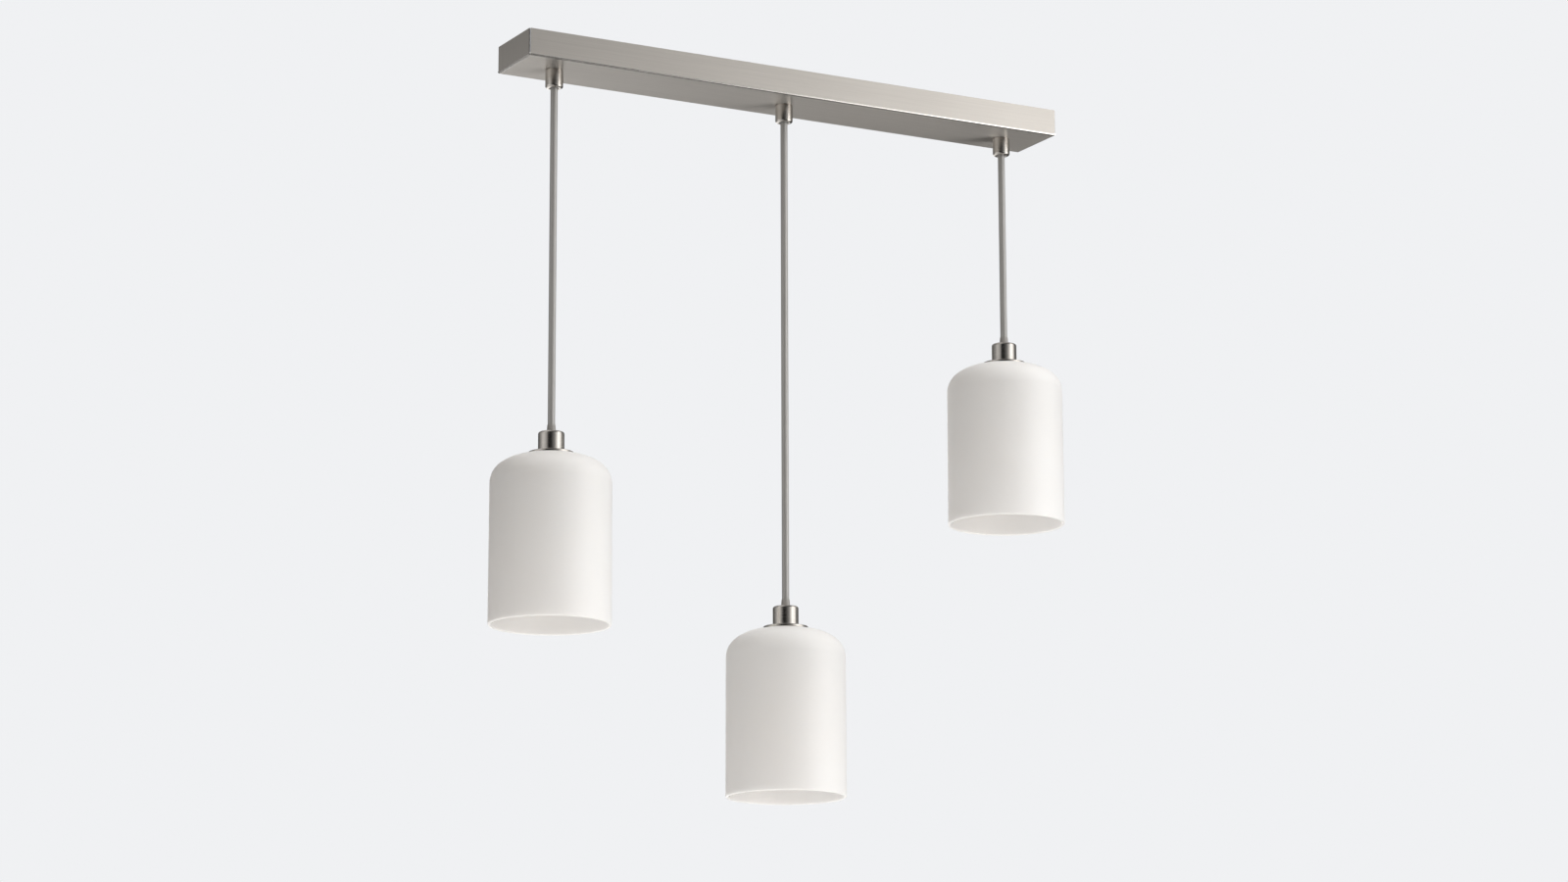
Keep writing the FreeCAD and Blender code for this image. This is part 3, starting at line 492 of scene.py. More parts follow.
# Every slot has one finish. A plastic's row: slot, name, dark and light colour, roughness, scale and depth of the
# grain, softness.
finishes = {
    "satin_nickel_sheet": makeBrushedSheet(),
    "nickel_turned": makeTurnedNickel(),
    "zinc_plated_steel": makeZincPlate(),
    "green_painted_steel": makeGreenPaint(),
    "brass_parts": makeBrass(),
    "silver_cord": makeBraid(),
    "opal_glass": makeOpalGlass(),
}
for slot, *plastic in (
        ("natural_nylon", "naturalNylon", (0.74, 0.73, 0.68), (0.82, 0.81, 0.77), 0.45, 1800, 0.00004, 0.3),
        ("grey_plastic", "greySleeve", (0.30, 0.29, 0.275), (0.36, 0.35, 0.335), 0.32, 2200, 0.00004),
        ("clear_rubber", "clearRubber", (0.66, 0.66, 0.64), (0.76, 0.76, 0.74), 0.4, 1500, 0.00003, 0.4),
        ("holder_plastic", "holderWhite", (0.80, 0.80, 0.775), (0.86, 0.86, 0.84), 0.5, 1900, 0.00006),
        ("connector_plastic", "connectorYellow", (0.74, 0.50, 0.10), (0.82, 0.58, 0.14), 0.45, 1700, 0.00006),
        ("black_insulation", "blackInsulation", (0.02, 0.02, 0.02), (0.035, 0.035, 0.035), 0.3, 1500, 0.00002),
        ("white_insulation", "whiteInsulation", (0.74, 0.74, 0.72), (0.82, 0.82, 0.80), 0.3, 1500, 0.00002),
        ("green_insulation", "greenInsulation", (0.02, 0.24, 0.07), (0.04, 0.33, 0.11), 0.3, 1500, 0.00002)):
    finishes[slot] = makePlastic(*plastic)
print("finishes made")


cordSettings = {
    "radius": 3.75,
    "relief": 0.10,         # depth of the braid
    "bumps": 8,             # yarn crossings round the cord, in each of two rows
    "columns": 64,
    "rowStep": 0.37,
    "pivot": -46.3,         # height that the cord swings about
    "travel": 0.15,         # how far a lamp can be raised, in metres
    "tail": (-42.55, -17.0),        # the stretch from the grip into the bar
    "neck": (3.55, 3.7, 2.4),       # the short bend in the grip's mouth: radius, half its height, rounding
}


def braidRipple(angle, radius, height):
    # Two crossing waves: cos(n a + k z) cos(n a - k z), as deep as the braid is and only on the round side.
    full, relief, bumps, *_ = cordSettings.values()
    around, along = bumps * angle, 2 * math.pi * height / (2 * math.pi * full / bumps)
    wave = np.cos(around + along) * np.cos(around - along)
    return relief * (wave - 1) / 2 * np.clip((radius / full - 0.9) / 0.1, 0, 1)


def braidMesh(name, low, high, centre, roundTop=False, edge=0.5):
    # A straight braided rod from low to high, with a half ball or a slightly rounded cut at its top.
    radius, _, bumps, columns, rowStep, *_ = cordSettings.values()
    if roundTop:
        angle = np.linspace(0, math.pi / 2, 12)[:, None]
        top = np.hstack([radius * np.cos(angle), high + radius * np.sin(angle)])
    else:
        top = roundedOutline([(radius, high - 2, 0), (radius, high, edge), (0, high, 0)], closed=False)
    foot = roundedOutline([(0, low, 0), (radius, low, 0.3), (radius, low + 1.5, 0)], closed=False)
    straight = finer(np.array([[radius, low + 1.5], [radius, top[0, 1]]]), rowStep)
    line = np.concatenate([foot[:-1], straight[:-1], top])
    mesh = turnedMesh(name, line, centre, columns, braidRipple, closed=False, sharpDegrees=60)
    spread = 2 * math.pi * radius * mm          # the map counts yarn crossings instead of metres
    grain = mesh.uv_layers["grain"].data
    grain.foreach_set("uv", readAll(grain, "uv", 2, np.float32).ravel() * bumps / spread)
    return mesh


def splinePoints(curve):
    # The points that Blender itself lays along a curve without thickness.
    holder = addObject("routeHolder", curve)
    bpy.context.view_layer.update()
    mesh = bpy.data.meshes.new_from_object(holder)
    points = readAll(mesh.vertices, "co", 3)
    bpy.data.objects.remove(holder)
    bpy.data.meshes.remove(mesh)
    return points


def routeCurve(name, route, radius):
    # An open NURBS line with the route's points as its control points, in metres.
    curve = bpy.data.curves.new(name, "CURVE")
    curve.dimensions = "3D"
    curve.resolution_u = 12
    spline = curve.splines.new("NURBS")
    spline.points.add(len(route) - 1)
    spline.points.foreach_set("co", np.hstack([route, np.ones((len(route), 1))]).ravel())
    spline.order_u = 3
    spline.use_endpoint_u = True
    curve.bevel_depth = radius
    curve.bevel_resolution = 5
    curve.use_fill_caps = True
    return curve


def makeSuspensionCords():
    # Each cord hangs straight from its grip to its lamp. Its top is a half ball about the point it swings on.
    radius, pivot = cordSettings["radius"], cordSettings["pivot"]
    wide, half, soft = cordSettings["neck"]
    neck = roundedOutline([(0, -half, 0), (wide, -half, soft), (wide, half, soft), (0, half, 0)], 8, closed=False)
    for side in sides:
        node = f"cord_{side}"
        x = nodeCentre(node).x
        foot, _ = levels(node)
        mesh = braidMesh(f"braidedCord_{side}", foot, pivot, (x, 0, 0), roundTop=True)
        cord = addPiece(f"braidedCord_{side}", mesh, node, "silver_cord", node)
        route = np.array([[x, 0, level * mm] for level in (pivot, (pivot + foot) / 2, foot)])
        path = splinePoints(routeCurve("hangingRoute", route, 0))
        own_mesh(cord)
        mesh = turnedMesh(f"cordBend_{side}", neck, (x, 0, pivot * mm), 48, closed=False)
        addPiece(f"cordBend_{side}", mesh, f"neck_{side}", "silver_cord", f"cord_neck_{side}")
        mesh = braidMesh(f"cordTail_{side}", *cordSettings["tail"], (x, 0, 0))
        addPiece(f"cordTail_{side}", mesh, "canopy", "silver_cord", "cord_tails")
        mesh = braidMesh(f"cordEnd_{side}", *levels(f"cord_end_{side}"), (x, 0, 0), edge=0.05)
        addPiece(f"cordEnd_{side}", mesh, f"lamp_{side}", "silver_cord", f"cord_end_{side}")


wireSettings = {
    "radius": 1.1,
    "circle": 1.9,          # distance of a wire from its cord's middle
    "top": -17.0,           # level of the cord's cut end
    "floor": -27.3,
    "connectorsLeft": -90.0,
    "connectorStep": 28.0,
    "slip": 2.4,            # sideways step between the three wires in one connector
    "lead": 7.5,            # where a wire turns square to its connector, across the bar
    "mouth": 16.5,          # where it ends inside
    "mouthLevel": -19.7,
}
# For each pendant and wire: the angle round the cord, the height that the wire rises to, and its places
# along the bar from its own pendant, across the bar, and above the floor of the bar, in millimetres.
wireRuns = {
    ("left", "live"): (90, 17, [
        (6, 1.9, 22), (17, 1, 22), (30, 0, 13), (44, -1, 4.5), (62, -2, 1.9), (100, -1, 2.3), (140, -2.2, 1.9),
        (168.6, -1.5, 3)]),
    ("left", "neutral"): (210, 18.5, [
        (4.5, -1.6, 24), (16, -3, 23.5), (29, -5, 14), (43, -6.5, 5), (61, -7.2, 1.9), (105, -6.4, 2.3),
        (150, -7.4, 1.9), (180, -6.8, 2.2), (195.6, -5.5, 3.2)]),
    ("left", "earth"): (330, 15.5, [
        (7, -3.5, 19.5), (17, -7, 18.5), (29, -10, 11.5), (43, -12, 4.5), (61, -12.7, 1.9), (108, -11.9, 2.3),
        (155, -12.9, 1.9), (198, -12.2, 2.3), (222.6, -11.5, 3), (231, -3, 5.5)]),
    ("middle", "live"): (330, 17, [(-4, -4, 22), (-18, -7, 22.5), (-42, -8, 21.5), (-66, -7, 19), (-84, -3, 15)]),
    ("middle", "neutral"): (210, 15.5, [(-7, -1.5, 19.5), (-20, -2.5, 19.5), (-38, -3, 18.5), (-56, -1, 15)]),
    ("middle", "earth"): (90, 15, [(-6, 3, 19), (-17, 2.5, 18.5), (-28, 1.5, 15)]),
    ("right", "live"): (210, 15.5, [
        (-7, -4, 19.5), (-17, -9, 18.5), (-29, -15, 11.5), (-43, -19.5, 4.5), (-61, -22.5, 1.9), (-108, -23.5, 2.4),
        (-158, -22.5, 1.9), (-212, -23.5, 2.3), (-262, -22.5, 1.9), (-308, -23.5, 2.6), (-334, -22, 5),
        (-348, -17, 7.5), (-355, -8, 8.4)]),
    ("right", "neutral"): (330, 18.5, [
        (-4, -2.5, 24), (-16, -6, 23.5), (-29, -10.5, 14), (-43, -14.5, 5), (-61, -17.5, 1.9), (-108, -18.5, 2.3),
        (-158, -17.5, 1.9), (-212, -18.5, 2.3), (-262, -17.5, 1.9), (-300, -18.5, 3.2), (-318.6, -17.5, 5.4),
        (-327, -9, 7.8)]),
    ("right", "earth"): (90, 17, [
        (-6, 1, 22), (-17, -2, 22), (-30, -6, 13), (-44, -10, 4.5), (-62, -13, 1.9), (-110, -14.5, 2.4),
        (-160, -13.5, 1.9), (-214, -14.5, 2.3), (-262, -13.5, 2), (-290.6, -13.5, 2.8), (-299, -5.5, 5)]),
}
wireSlots = {"live": "black_insulation", "neutral": "white_insulation", "earth": "green_insulation"}
connectorSettings = {
    "radius": 5.6, "tip": 3.8, "length": 19.0, "skirt": 6.3, "edge": 1.2, "bore": 4.6, "boreDepth": 5.0,
    "flutes": 14, "flute": 0.35,
}


def makeConnectors():
    # A ribbed cap for each colour of wire, on its side: a plain skirt, flutes on the cone and a hollow mouth.
    radius, tip, length, skirt, edge, bore, boreDepth, flutes, flute = connectorSettings.values()
    outline = finer(roundedOutline([
        (0, boreDepth, 0), (bore, boreDepth, 0.5), (bore, 0, 0.3), (radius, 0, 0.3), (radius, skirt, 0.4),
        (tip, length, edge), (0, length, 0)], 5, closed=False), 0.5)

    def fluteRipple(angle, radius, height):
        on = np.clip((height - skirt) / 0.8, 0, 1) * np.clip((length - 0.6 - height) / 1.2, 0, 1)
        return -flute * (0.5 - 0.5 * np.cos(flutes * angle)) * on

    low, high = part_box("wire_connectors")
    made = {}
    for index, kind in enumerate(wireSlots):
        name = f"wireConnector_{kind}"
        centre = (low.x + (radius + index * wireSettings["connectorStep"]) * mm, low.y, (low.z + high.z) / 2)
        mesh = turnedMesh(name, outline, centre, 112, fluteRipple, closed=False, axis="y")
        made[kind] = addPiece(name, mesh, "canopy", "connector_plastic", "wire_connectors")
    return made


def makeWires(connectors):
    # Every wire leaves its cord's cut end upwards, runs along the bar and goes square into its connector.
    s = wireSettings
    for index, (kind, slot) in enumerate(wireSlots.items()):
        for side, slip in zip(sides, (-s["slip"], 0, s["slip"])):
            angle, rise, places = wireRuns[side, kind]
            x0 = nodeCentre(f"cord_{side}").x / mm
            turn = math.radians(angle)
            start = (x0 + s["circle"] * math.cos(turn), s["circle"] * math.sin(turn))
            mouth = s["connectorsLeft"] + s["connectorStep"] * index + slip
            run = np.array(places, float) + (x0, 0, s["floor"])
            route = np.concatenate([
                [(*start, s["top"]), (*start, s["floor"] + rise)], run,
                [(mouth, s["lead"], s["mouthLevel"]), (mouth, s["mouth"], s["mouthLevel"])]]) * mm
            length = np.linalg.norm(np.diff(splinePoints(routeCurve("wireRoute", route, 0)), axis=0), axis=1).sum()
            name = f"{kind}Wire_{side}"
            wire = addPiece(name, routeCurve(name, route, s["radius"] * mm), "canopy", slot, f"{kind}_wires")


makeSuspensionCords()
makeWires(makeConnectors())
print("cords and wires made")


barSettings = {"barEdge": 0.22, "strapEdge": 0.15, "edgeSteps": 2, "edgeDegrees": 40, "endTilt": 0.72}


def makeBar():
    # The folded tray and the strap keep their CAD surfaces; the map runs with the brushing: along the bar on the
    # long sides and underneath, and straight up on the two ends, where the same sheet is folded up.
    for name, node, slot, edge in (
            ("barTray", "canopy_pan", "satin_nickel_sheet", "barEdge"),
            ("ceilingStrap", "ceiling_bracket", "zinc_plated_steel", "strapEdge")):
        mesh = nodeCopy(name, node)
        mapBySide(mesh)
        softenEdges(addPiece(name, mesh, "canopy", slot, node), barSettings[edge] * mm)


def mapBySide(mesh):
    # u follows the sheet's grain and v goes across it, both in metres, worked out for all corners at once.
    while mesh.uv_layers:
        mesh.uv_layers.remove(mesh.uv_layers[0])
    point = readAll(mesh.vertices, "co", 3)[readAll(mesh.loops, "vertex_index", 1, np.int32)]
    total = readAll(mesh.polygons, "loop_total", 1, np.int32)
    normal = np.repeat(readAll(mesh.polygons, "normal", 3), total, axis=0)
    onEnd = np.abs(normal[:, 0]) > barSettings["endTilt"]
    u = np.where(onEnd, point[:, 2], point[:, 0])
    v = np.where(onEnd, point[:, 1], point[:, 1] + point[:, 2])
    layer = mesh.uv_layers.new(name="grain")
    layer.data.foreach_set("uv", np.stack([u, v], axis=1).ravel().astype(np.float32))


def softenEdges(piece, width):
    bevel = piece.modifiers.new("softEdges", "BEVEL")
    bevel.width = width
    bevel.segments = barSettings["edgeSteps"]
    bevel.limit_method = "ANGLE"
    bevel.angle_limit = math.radians(barSettings["edgeDegrees"])
    bevel.harden_normals = True
    bevel.use_clamp_overlap = True


makeBar()
print("bar made")


def threadRipple(pitch, depth, low, high, fade, beyond):
    # A helical wave, depth/2 (cos(2 pi z/pitch - a) - 1), that fades out towards both ends of its stretch and
    # works only where the radius is larger than the given one.
    def ripple(angle, radius, height):
        wave = depth / 2 * (np.cos(2 * math.pi * height / pitch - angle) - 1)
        ends = np.clip((height - low) / fade, 0, 1) * np.clip((high - height) / fade, 0, 1)
        return wave * ends * (radius > beyond)
    return ripple


def hexRipple(flats, steepness, high, low):
    # A hexagon: radius = half the flats over cos of the angle from the middle of a flat, cut by cones at its ends.
    def ripple(angle, radius, height):
        folded = np.mod(angle, math.pi / 3) - math.pi / 6
        six = flats / 2 / np.cos(folded)
        cone = flats / 2 * 1.02 + np.minimum((high - height) * steepness, (height - low) * steepness)
        return np.where(radius > flats / 2 - 0.01, np.minimum(six, cone) - radius, 0)
    return ripple


gripSettings = {
    "radius": 9.15, "height": 19.3, "edge": 2.4, "collar": 0.8, "collarStep": 0.5, "mouth": 4.75,
    "mouthEdge": 0.7, "mouthDepth": 3.3, "seat": 5.5, "cavity": 6.1,
}


def makeGrips():
    # A turned barrel under the bar with a thin groove at its top, a rounded foot and the cord's mouth.
    radius, height, edge, collar, step, mouth, mouthEdge, mouthDepth, seat, cavity = gripSettings.values()
    outline = finer(roundedOutline([
        (cavity, 0, 0), (radius - step, 0, 0.1), (radius - step, -collar, 0.08), (radius, -collar, 0.2),
        (radius, -height, edge), (mouth, -height, mouthEdge), (mouth, -height + mouthDepth, 0.1),
        (cavity, -height + seat, 0.1)], 8), 1.5)
    for side in sides:
        low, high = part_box(f"cord_grip_{side}")
        rows = [("cordGrip", outline, True, 128, None, "nickel_turned", f"cord_grip_{side}")]
        addTurned(rows, side, "canopy", ((low.x + high.x) / 2, 0, high.z), 40)


hardwareSettings = {
    "tube": {"radius": 6.0, "bore": 4.25, "pitch": 1.0, "thread": 0.5},
    "washer": {"radius": 10.0, "bore": 6.1, "teeth": 18, "toothDepth": 1.6, "toothRoot": 8.0},
    "nut": {"flats": 16.0, "bore": 6.1},
    "nutCone": 1.7,         # steepness of the chamfers on a nut's corners
    "collet": {"bore": 3.85, "nose": 4.65, "radius": 5.9, "taper": 2.2},
}


def makeGripHardware():
    # Above the sheet, each grip has a threaded tube, a toothed washer, a hexagon nut and a split nylon collet.
    h = hardwareSettings
    radius, bore, pitch, depth = h["tube"].values()
    low, high = levels("grip_nipples")
    tube = finer(ringOutline(bore, radius, low, high, 0.1, 0.45, 3), 0.16)
    tubeThread = threadRipple(pitch, depth, low, high, 0.8, radius - 0.3)
    radius, bore, teeth, toothDepth, toothRoot = h["washer"].values()
    washer = ringOutline(bore, radius, *levels("grip_washers"), 0.05, 0.15, 2)

    def toothRipple(angle, radius, height):
        # Square-shouldered teeth round the rim of the washer.
        notch = 1 / (1 + np.exp(-14 * (np.cos(teeth * angle) - 0.35)))
        return -toothDepth * notch * (radius > toothRoot)

    flats, bore = h["nut"].values()
    low, high = levels("grip_nuts")
    nut = finer(ringOutline(bore, flats / 2, low, high, 0.3, 0, 2), 0.35)
    nutShape = hexRipple(flats, h["nutCone"], high, low)
    bore, nose, radius, taper = h["collet"].values()
    low, high = levels("grip_collets")
    collet = roundedOutline([
        (bore, low, 0.2), (nose, low, 0.2), (radius, low + taper, 0.2), (radius, high, 0.3), (bore, high, 0.2)], 3)
    rows = [
        ("gripTube", tube, True, 72, tubeThread, "zinc_plated_steel", "grip_nipples"),
        ("gripWasher", washer, True, 216, toothRipple, "zinc_plated_steel", "grip_washers"),
        ("gripNut", nut, True, 96, nutShape, "brass_parts", "grip_nuts"),
        ("gripCollet", collet, True, 64, None, "natural_nylon", "grip_collets")]
    for side in sides:
        addTurned(rows, side, "canopy", (nodeCentre(f"cord_grip_{side}").x, 0, 0), 30)


screwSettings = {
    "head": 3.8, "rise": 2.4, "brim": 0.8, "shank": 1.95, "point": 0.5, "pitch": 0.8, "thread": 0.35,
    "slotLength": 2.3, "slotWidth": 0.42, "slotDepth": 1.2, "slotEdge": 14.0, "columns": 96,
    "mapWidth": 0.02,       # metres of the pattern that the screw's whole surface shows
}


def screwMesh(name, length, centre, axis):
    # A pan head whose top sinks in a cross: the depth is full where either arm of the cross covers a point.
    (head, rise, brim, shank, point, pitch, thread, slotLength, slotWidth, slotDepth, slotEdge, columns,
     mapWidth) = screwSettings.values()
    outline = finer(roundedOutline([
        (0, -length, 0), (shank - point, -length, 0.1), (shank, -length + point, 0.1), (shank, 0, 0),
        (head, 0, 0.15), (head, rise, rise - brim), (0, rise, 0)], 6, closed=False), 0.16)
    ripple = threadRipple(pitch, thread, -length, 0.0, 0.6, shank - 0.2)
    x, y, height = turnedPoints(outline, columns, ripple)

    def within(distance, size):
        return 1 / (1 + np.exp(np.clip(slotEdge * (np.abs(distance) - size), -30, 30)))

    def arm(a, b):
        return within(a, slotLength) * within(b, slotWidth)

    cross = np.maximum(arm(x, y), arm(y, x)) * (height > rise * 0.5)
    points = placed(x, y, height - slotDepth * cross, centre, axis)
    across, along = np.linspace(0, mapWidth, columns + 1), np.linspace(0, mapWidth, len(outline))
    return gridMesh(name, points, (False, True), np.stack(np.meshgrid(across, along), axis=-1), 35)


def makeScrews():
    # Two through the bar's far side into the strap, and the green one for the earth wire on the strap.
    head, rise = screwSettings["head"] * mm, screwSettings["rise"] * mm
    low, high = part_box("canopy_screws")
    level = (low.z + high.z) / 2
    for side, x in (("left", low.x + head), ("right", high.x - head)):
        mesh = screwMesh(f"barScrew_{side}", (high.y - low.y - rise) / mm, (x, high.y - rise, level), "y")
        addPiece(f"barScrew_{side}", mesh, "canopy", "nickel_turned", "canopy_screws")
    low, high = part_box("ground_screw")
    mesh = screwMesh("earthScrew", (high.z - low.z - rise) / mm, ((low.x + high.x) / 2, 0, low.z + rise), "-z")
    addPiece("earthScrew", mesh, "canopy", "green_painted_steel", "ground_screw")


makeGrips()
makeGripHardware()
makeScrews()
print("hardware made")


# One lamp, measured from the top of its glass.
lampSettings = {
    "gasket": {"bore": 19.8, "radius": 22.45, "height": 0.8},
    "disc": {"radius": 23.05, "height": 2.8, "edge": 0.6, "bore": 5.1},
    "cap": {"radius": 13.3, "height": 21.0, "edge": 2.3, "wall": 1.8, "bore": 4.8},
    "sleeve": {"foot": 4.7, "tip": 4.15, "rise": 7.6, "bore": 3.85, "flange": 7.0, "flangeWall": 2.0},
    "nipple": {"radius": 5.0, "bore": 4.05, "foot": -5.9, "rise": 11.0},
    "nut": {"flats": 14.0, "height": 3.5},
    "holder": {"collar": 19.5, "collarDepth": 14.5, "lower": 17.2, "depth": 46.0, "floor": 12.0, "edge": 1.5,
               "cavity": 14.0, "seat": 6.0},
    "shell": {"bore": 13.3, "wall": 0.6, "base": 12.2, "baseDepth": 4.5, "inset": 2.0, "inner": 6.0},
    "contact": {"disc": 4.5, "dome": 2.8, "height": 3.0, "strip": 1.0},
    "ring": {"radius": 28.0, "land": 22.5, "slope": 1.8, "height": 6.0, "edge": 0.8, "bore": 19.6},
    "threads": {"nipple": 1.0, "collar": 2.5, "bulb": 3.63},      # pitches
}


def makeFittings(side, x, level):
    # The turned parts above the glass, as the photograph shows them: cord sleeve, cap and disc.
    s = lampSettings
    bore, radius, discLow = s["gasket"].values()
    gasket = ringOutline(bore, radius, 0, discLow, 0.1, 0.1, 3)
    discTop = discLow + s["disc"]["height"]
    capTop = discTop + s["cap"]["height"]
    radius, _, edge, bore = s["disc"].values()
    disc = finer(ringOutline(bore, radius, discLow, discTop, 0.1, edge, 5), 1.5)
    radius, _, edge, wall, bore = s["cap"].values()
    cap = finer(roundedOutline([
        (bore, capTop, 0.25), (bore, capTop - wall, 0.1), (radius - wall, capTop - wall, 0.8),
        (radius - wall, discTop, 0.1), (radius, discTop, 0.2), (radius, capTop, edge)], 8), 1.5)
    foot, tip, rise, bore, flange, flangeWall = s["sleeve"].values()
    flangeTop = capTop - wall - 0.1
    sleeve = finer(roundedOutline([
        (bore, flangeTop - flangeWall, 0.1), (flange, flangeTop - flangeWall, 0.2), (flange, flangeTop, 0.2),
        (foot, flangeTop, 0), (foot, capTop + 0.5, 0.4), (tip, capTop + rise, 0.2),
        (bore, capTop + rise, 0)], 4), 0.3)

    def sleeveRipple(angle, radius, height):
        # Four shallow rings round the sleeve's cone.
        above = np.clip((height - capTop - 0.8) / 0.4, 0, 1) * (radius > 4.0)
        return -0.09 * (0.5 - 0.5 * np.cos(2 * math.pi * (height - capTop) / 1.6)) * above

    rows = [
        ("holderDisc", disc, True, 160, None, "nickel_turned", f"holder_disc_{side}"),
        ("socketCap", cap, True, 144, None, "nickel_turned", f"socket_cap_{side}"),
        ("cordSleeve", sleeve, True, 72, sleeveRipple, "grey_plastic", f"strain_relief_{side}"),
        ("discGasket", gasket, True, 96, None, "clear_rubber", f"disc_gasket_{side}")]
    addTurned(rows, side, f"lamp_{side}", (x, 0, level), 40)


def makeSocket(side, x, level):
    # What holds the bulb: threaded tube and nut, moulded holder, brass shell with rolled thread, contact, ring.
    s = lampSettings
    pitches = s["threads"]
    discLow = s["gasket"]["height"]
    discTop = discLow + s["disc"]["height"]
    radius, bore, foot, rise = s["nipple"].values()
    top = discTop + rise
    tube = finer(roundedOutline([
        (bore, foot, 0.1), (radius, foot, 0.3), (radius, top, 0.45), (bore, top, 0.1)], 3), 0.16)
    tubeThread = threadRipple(pitches["nipple"], 0.45, foot, top, 0.8, radius - 0.3)
    flats, nutHeight = s["nut"].values()
    nut = finer(ringOutline(radius + 0.1, flats / 2, discTop, discTop + nutHeight, 0.3, 0, 2), 0.35)
    nutShape = hexRipple(flats, hardwareSettings["nutCone"], discTop + nutHeight, discTop)

    collar, collarLow, lower, depth, floor, edge, cavity, seat = s["holder"].values()
    holder = finer(roundedOutline([
        (0, -seat, 0), (radius + 0.1, -seat, 0.1), (radius + 0.1, discLow, 0.2), (collar, discLow, 0.3),
        (collar, -collarLow, 0.2), (lower, -collarLow - (collar - lower), 0.4), (lower, -depth, edge),
        (cavity, -depth, 0.4), (cavity, -floor, 0.5), (0, -floor, 0)], 5, closed=False), 0.5)

    def holderRipple(angle, radius, height):
        # A coarse thread on the collar and shallow flutes down the body.
        wave = threadRipple(pitches["collar"], 0.7, -collarLow + 0.4, -0.2, 0.8, collar - 0.4)
        thread = wave(angle, radius, height)
        down = np.clip((-collarLow - 5 - height) / 2, 0, 1) * np.clip((height + depth - 3) / 2, 0, 1)
        flutes = -0.28 * np.clip(np.cos(24 * angle), 0, 1) * down * (np.abs(radius - lower) < 0.3)
        return thread + flutes

    bore, wall, base, baseDepth, inset, inner = s["shell"].values()
    shelf = -floor - baseDepth
    foot = -depth + inset
    shell = finer(roundedOutline([
        (inner, -floor, 0), (inner, -floor - wall, 0.1), (base, -floor - wall, 0.6), (base, shelf, 0.3),
        (bore, shelf, 0.6), (bore, foot, 0.1), (bore + wall, foot, 0.1), (bore + wall, shelf + wall, 0.3),
        (base + wall, shelf + wall, 0.6), (base + wall, -floor, 0)], 4), 0.35)
    rolled = threadRipple(pitches["bulb"], 0.9, foot, shelf - 1, 3.0, base + wall + 0.2)
    disc, dome, high, strip = s["contact"].values()
    contact = finer(roundedOutline([
        (0, -floor, 0), (disc, -floor, 0), (disc, -floor - strip, 0.3), (dome, -floor - strip, 0.8),
        (dome * 0.6, -floor - high, 0.9), (0, -floor - high, 0)], 5, closed=False), 0.3)
    outer, land, slope, ringHeight, ringEdge, ringBore = s["ring"].values()
    ringTop = -shadeSettings["wall"]
    ring = finer(roundedOutline([
        (ringBore, ringTop - ringHeight, 0.3), (outer, ringTop - ringHeight, ringEdge),
        (outer, ringTop - slope, 0.4), (land, ringTop, 0.4), (ringBore, ringTop, 0.2)], 5), 0.5)

    def ringRipple(angle, radius, height):
        # Finger grips round the rim, and the thread in the bore.
        grips = -0.7 * (0.5 - 0.5 * np.cos(30 * angle)) ** 2 * np.clip((radius - 26.5) / 1.0, 0, 1)
        wave = 0.3 * (0.5 + 0.5 * np.cos(2 * math.pi * height / pitches["collar"] - angle))
        return grips + wave * (radius < ringBore + 0.2)

    rows = [
        ("lampTube", tube, True, 60, tubeThread, "zinc_plated_steel", f"lamp_nipple_{side}"),
        ("lampNut", nut, True, 96, nutShape, "brass_parts", f"lamp_nut_{side}"),
        ("lampHolder", holder, False, 192, holderRipple, "holder_plastic", f"lamp_holder_{side}"),
        ("screwShell", shell, True, 96, rolled, "brass_parts", f"screw_shell_{side}"),
        ("centreContact", contact, False, 48, None, "brass_parts", f"centre_contact_{side}"),
        ("shadeRing", ring, True, 240, ringRipple, "holder_plastic", f"shade_ring_{side}")]
    addTurned(rows, side, f"lamp_{side}", (x, 0, level), 32)


shadeSettings = {
    "flare": 0.4, "wall": 3.2, "flat": 23.0, "crown": 50.0, "shoulder": 24.0, "hole": 20.65, "holeEdge": 0.5,
    "seam": 0.3,            # the flat's outline stops this far before the crown's arc
    "columns": 192,
}


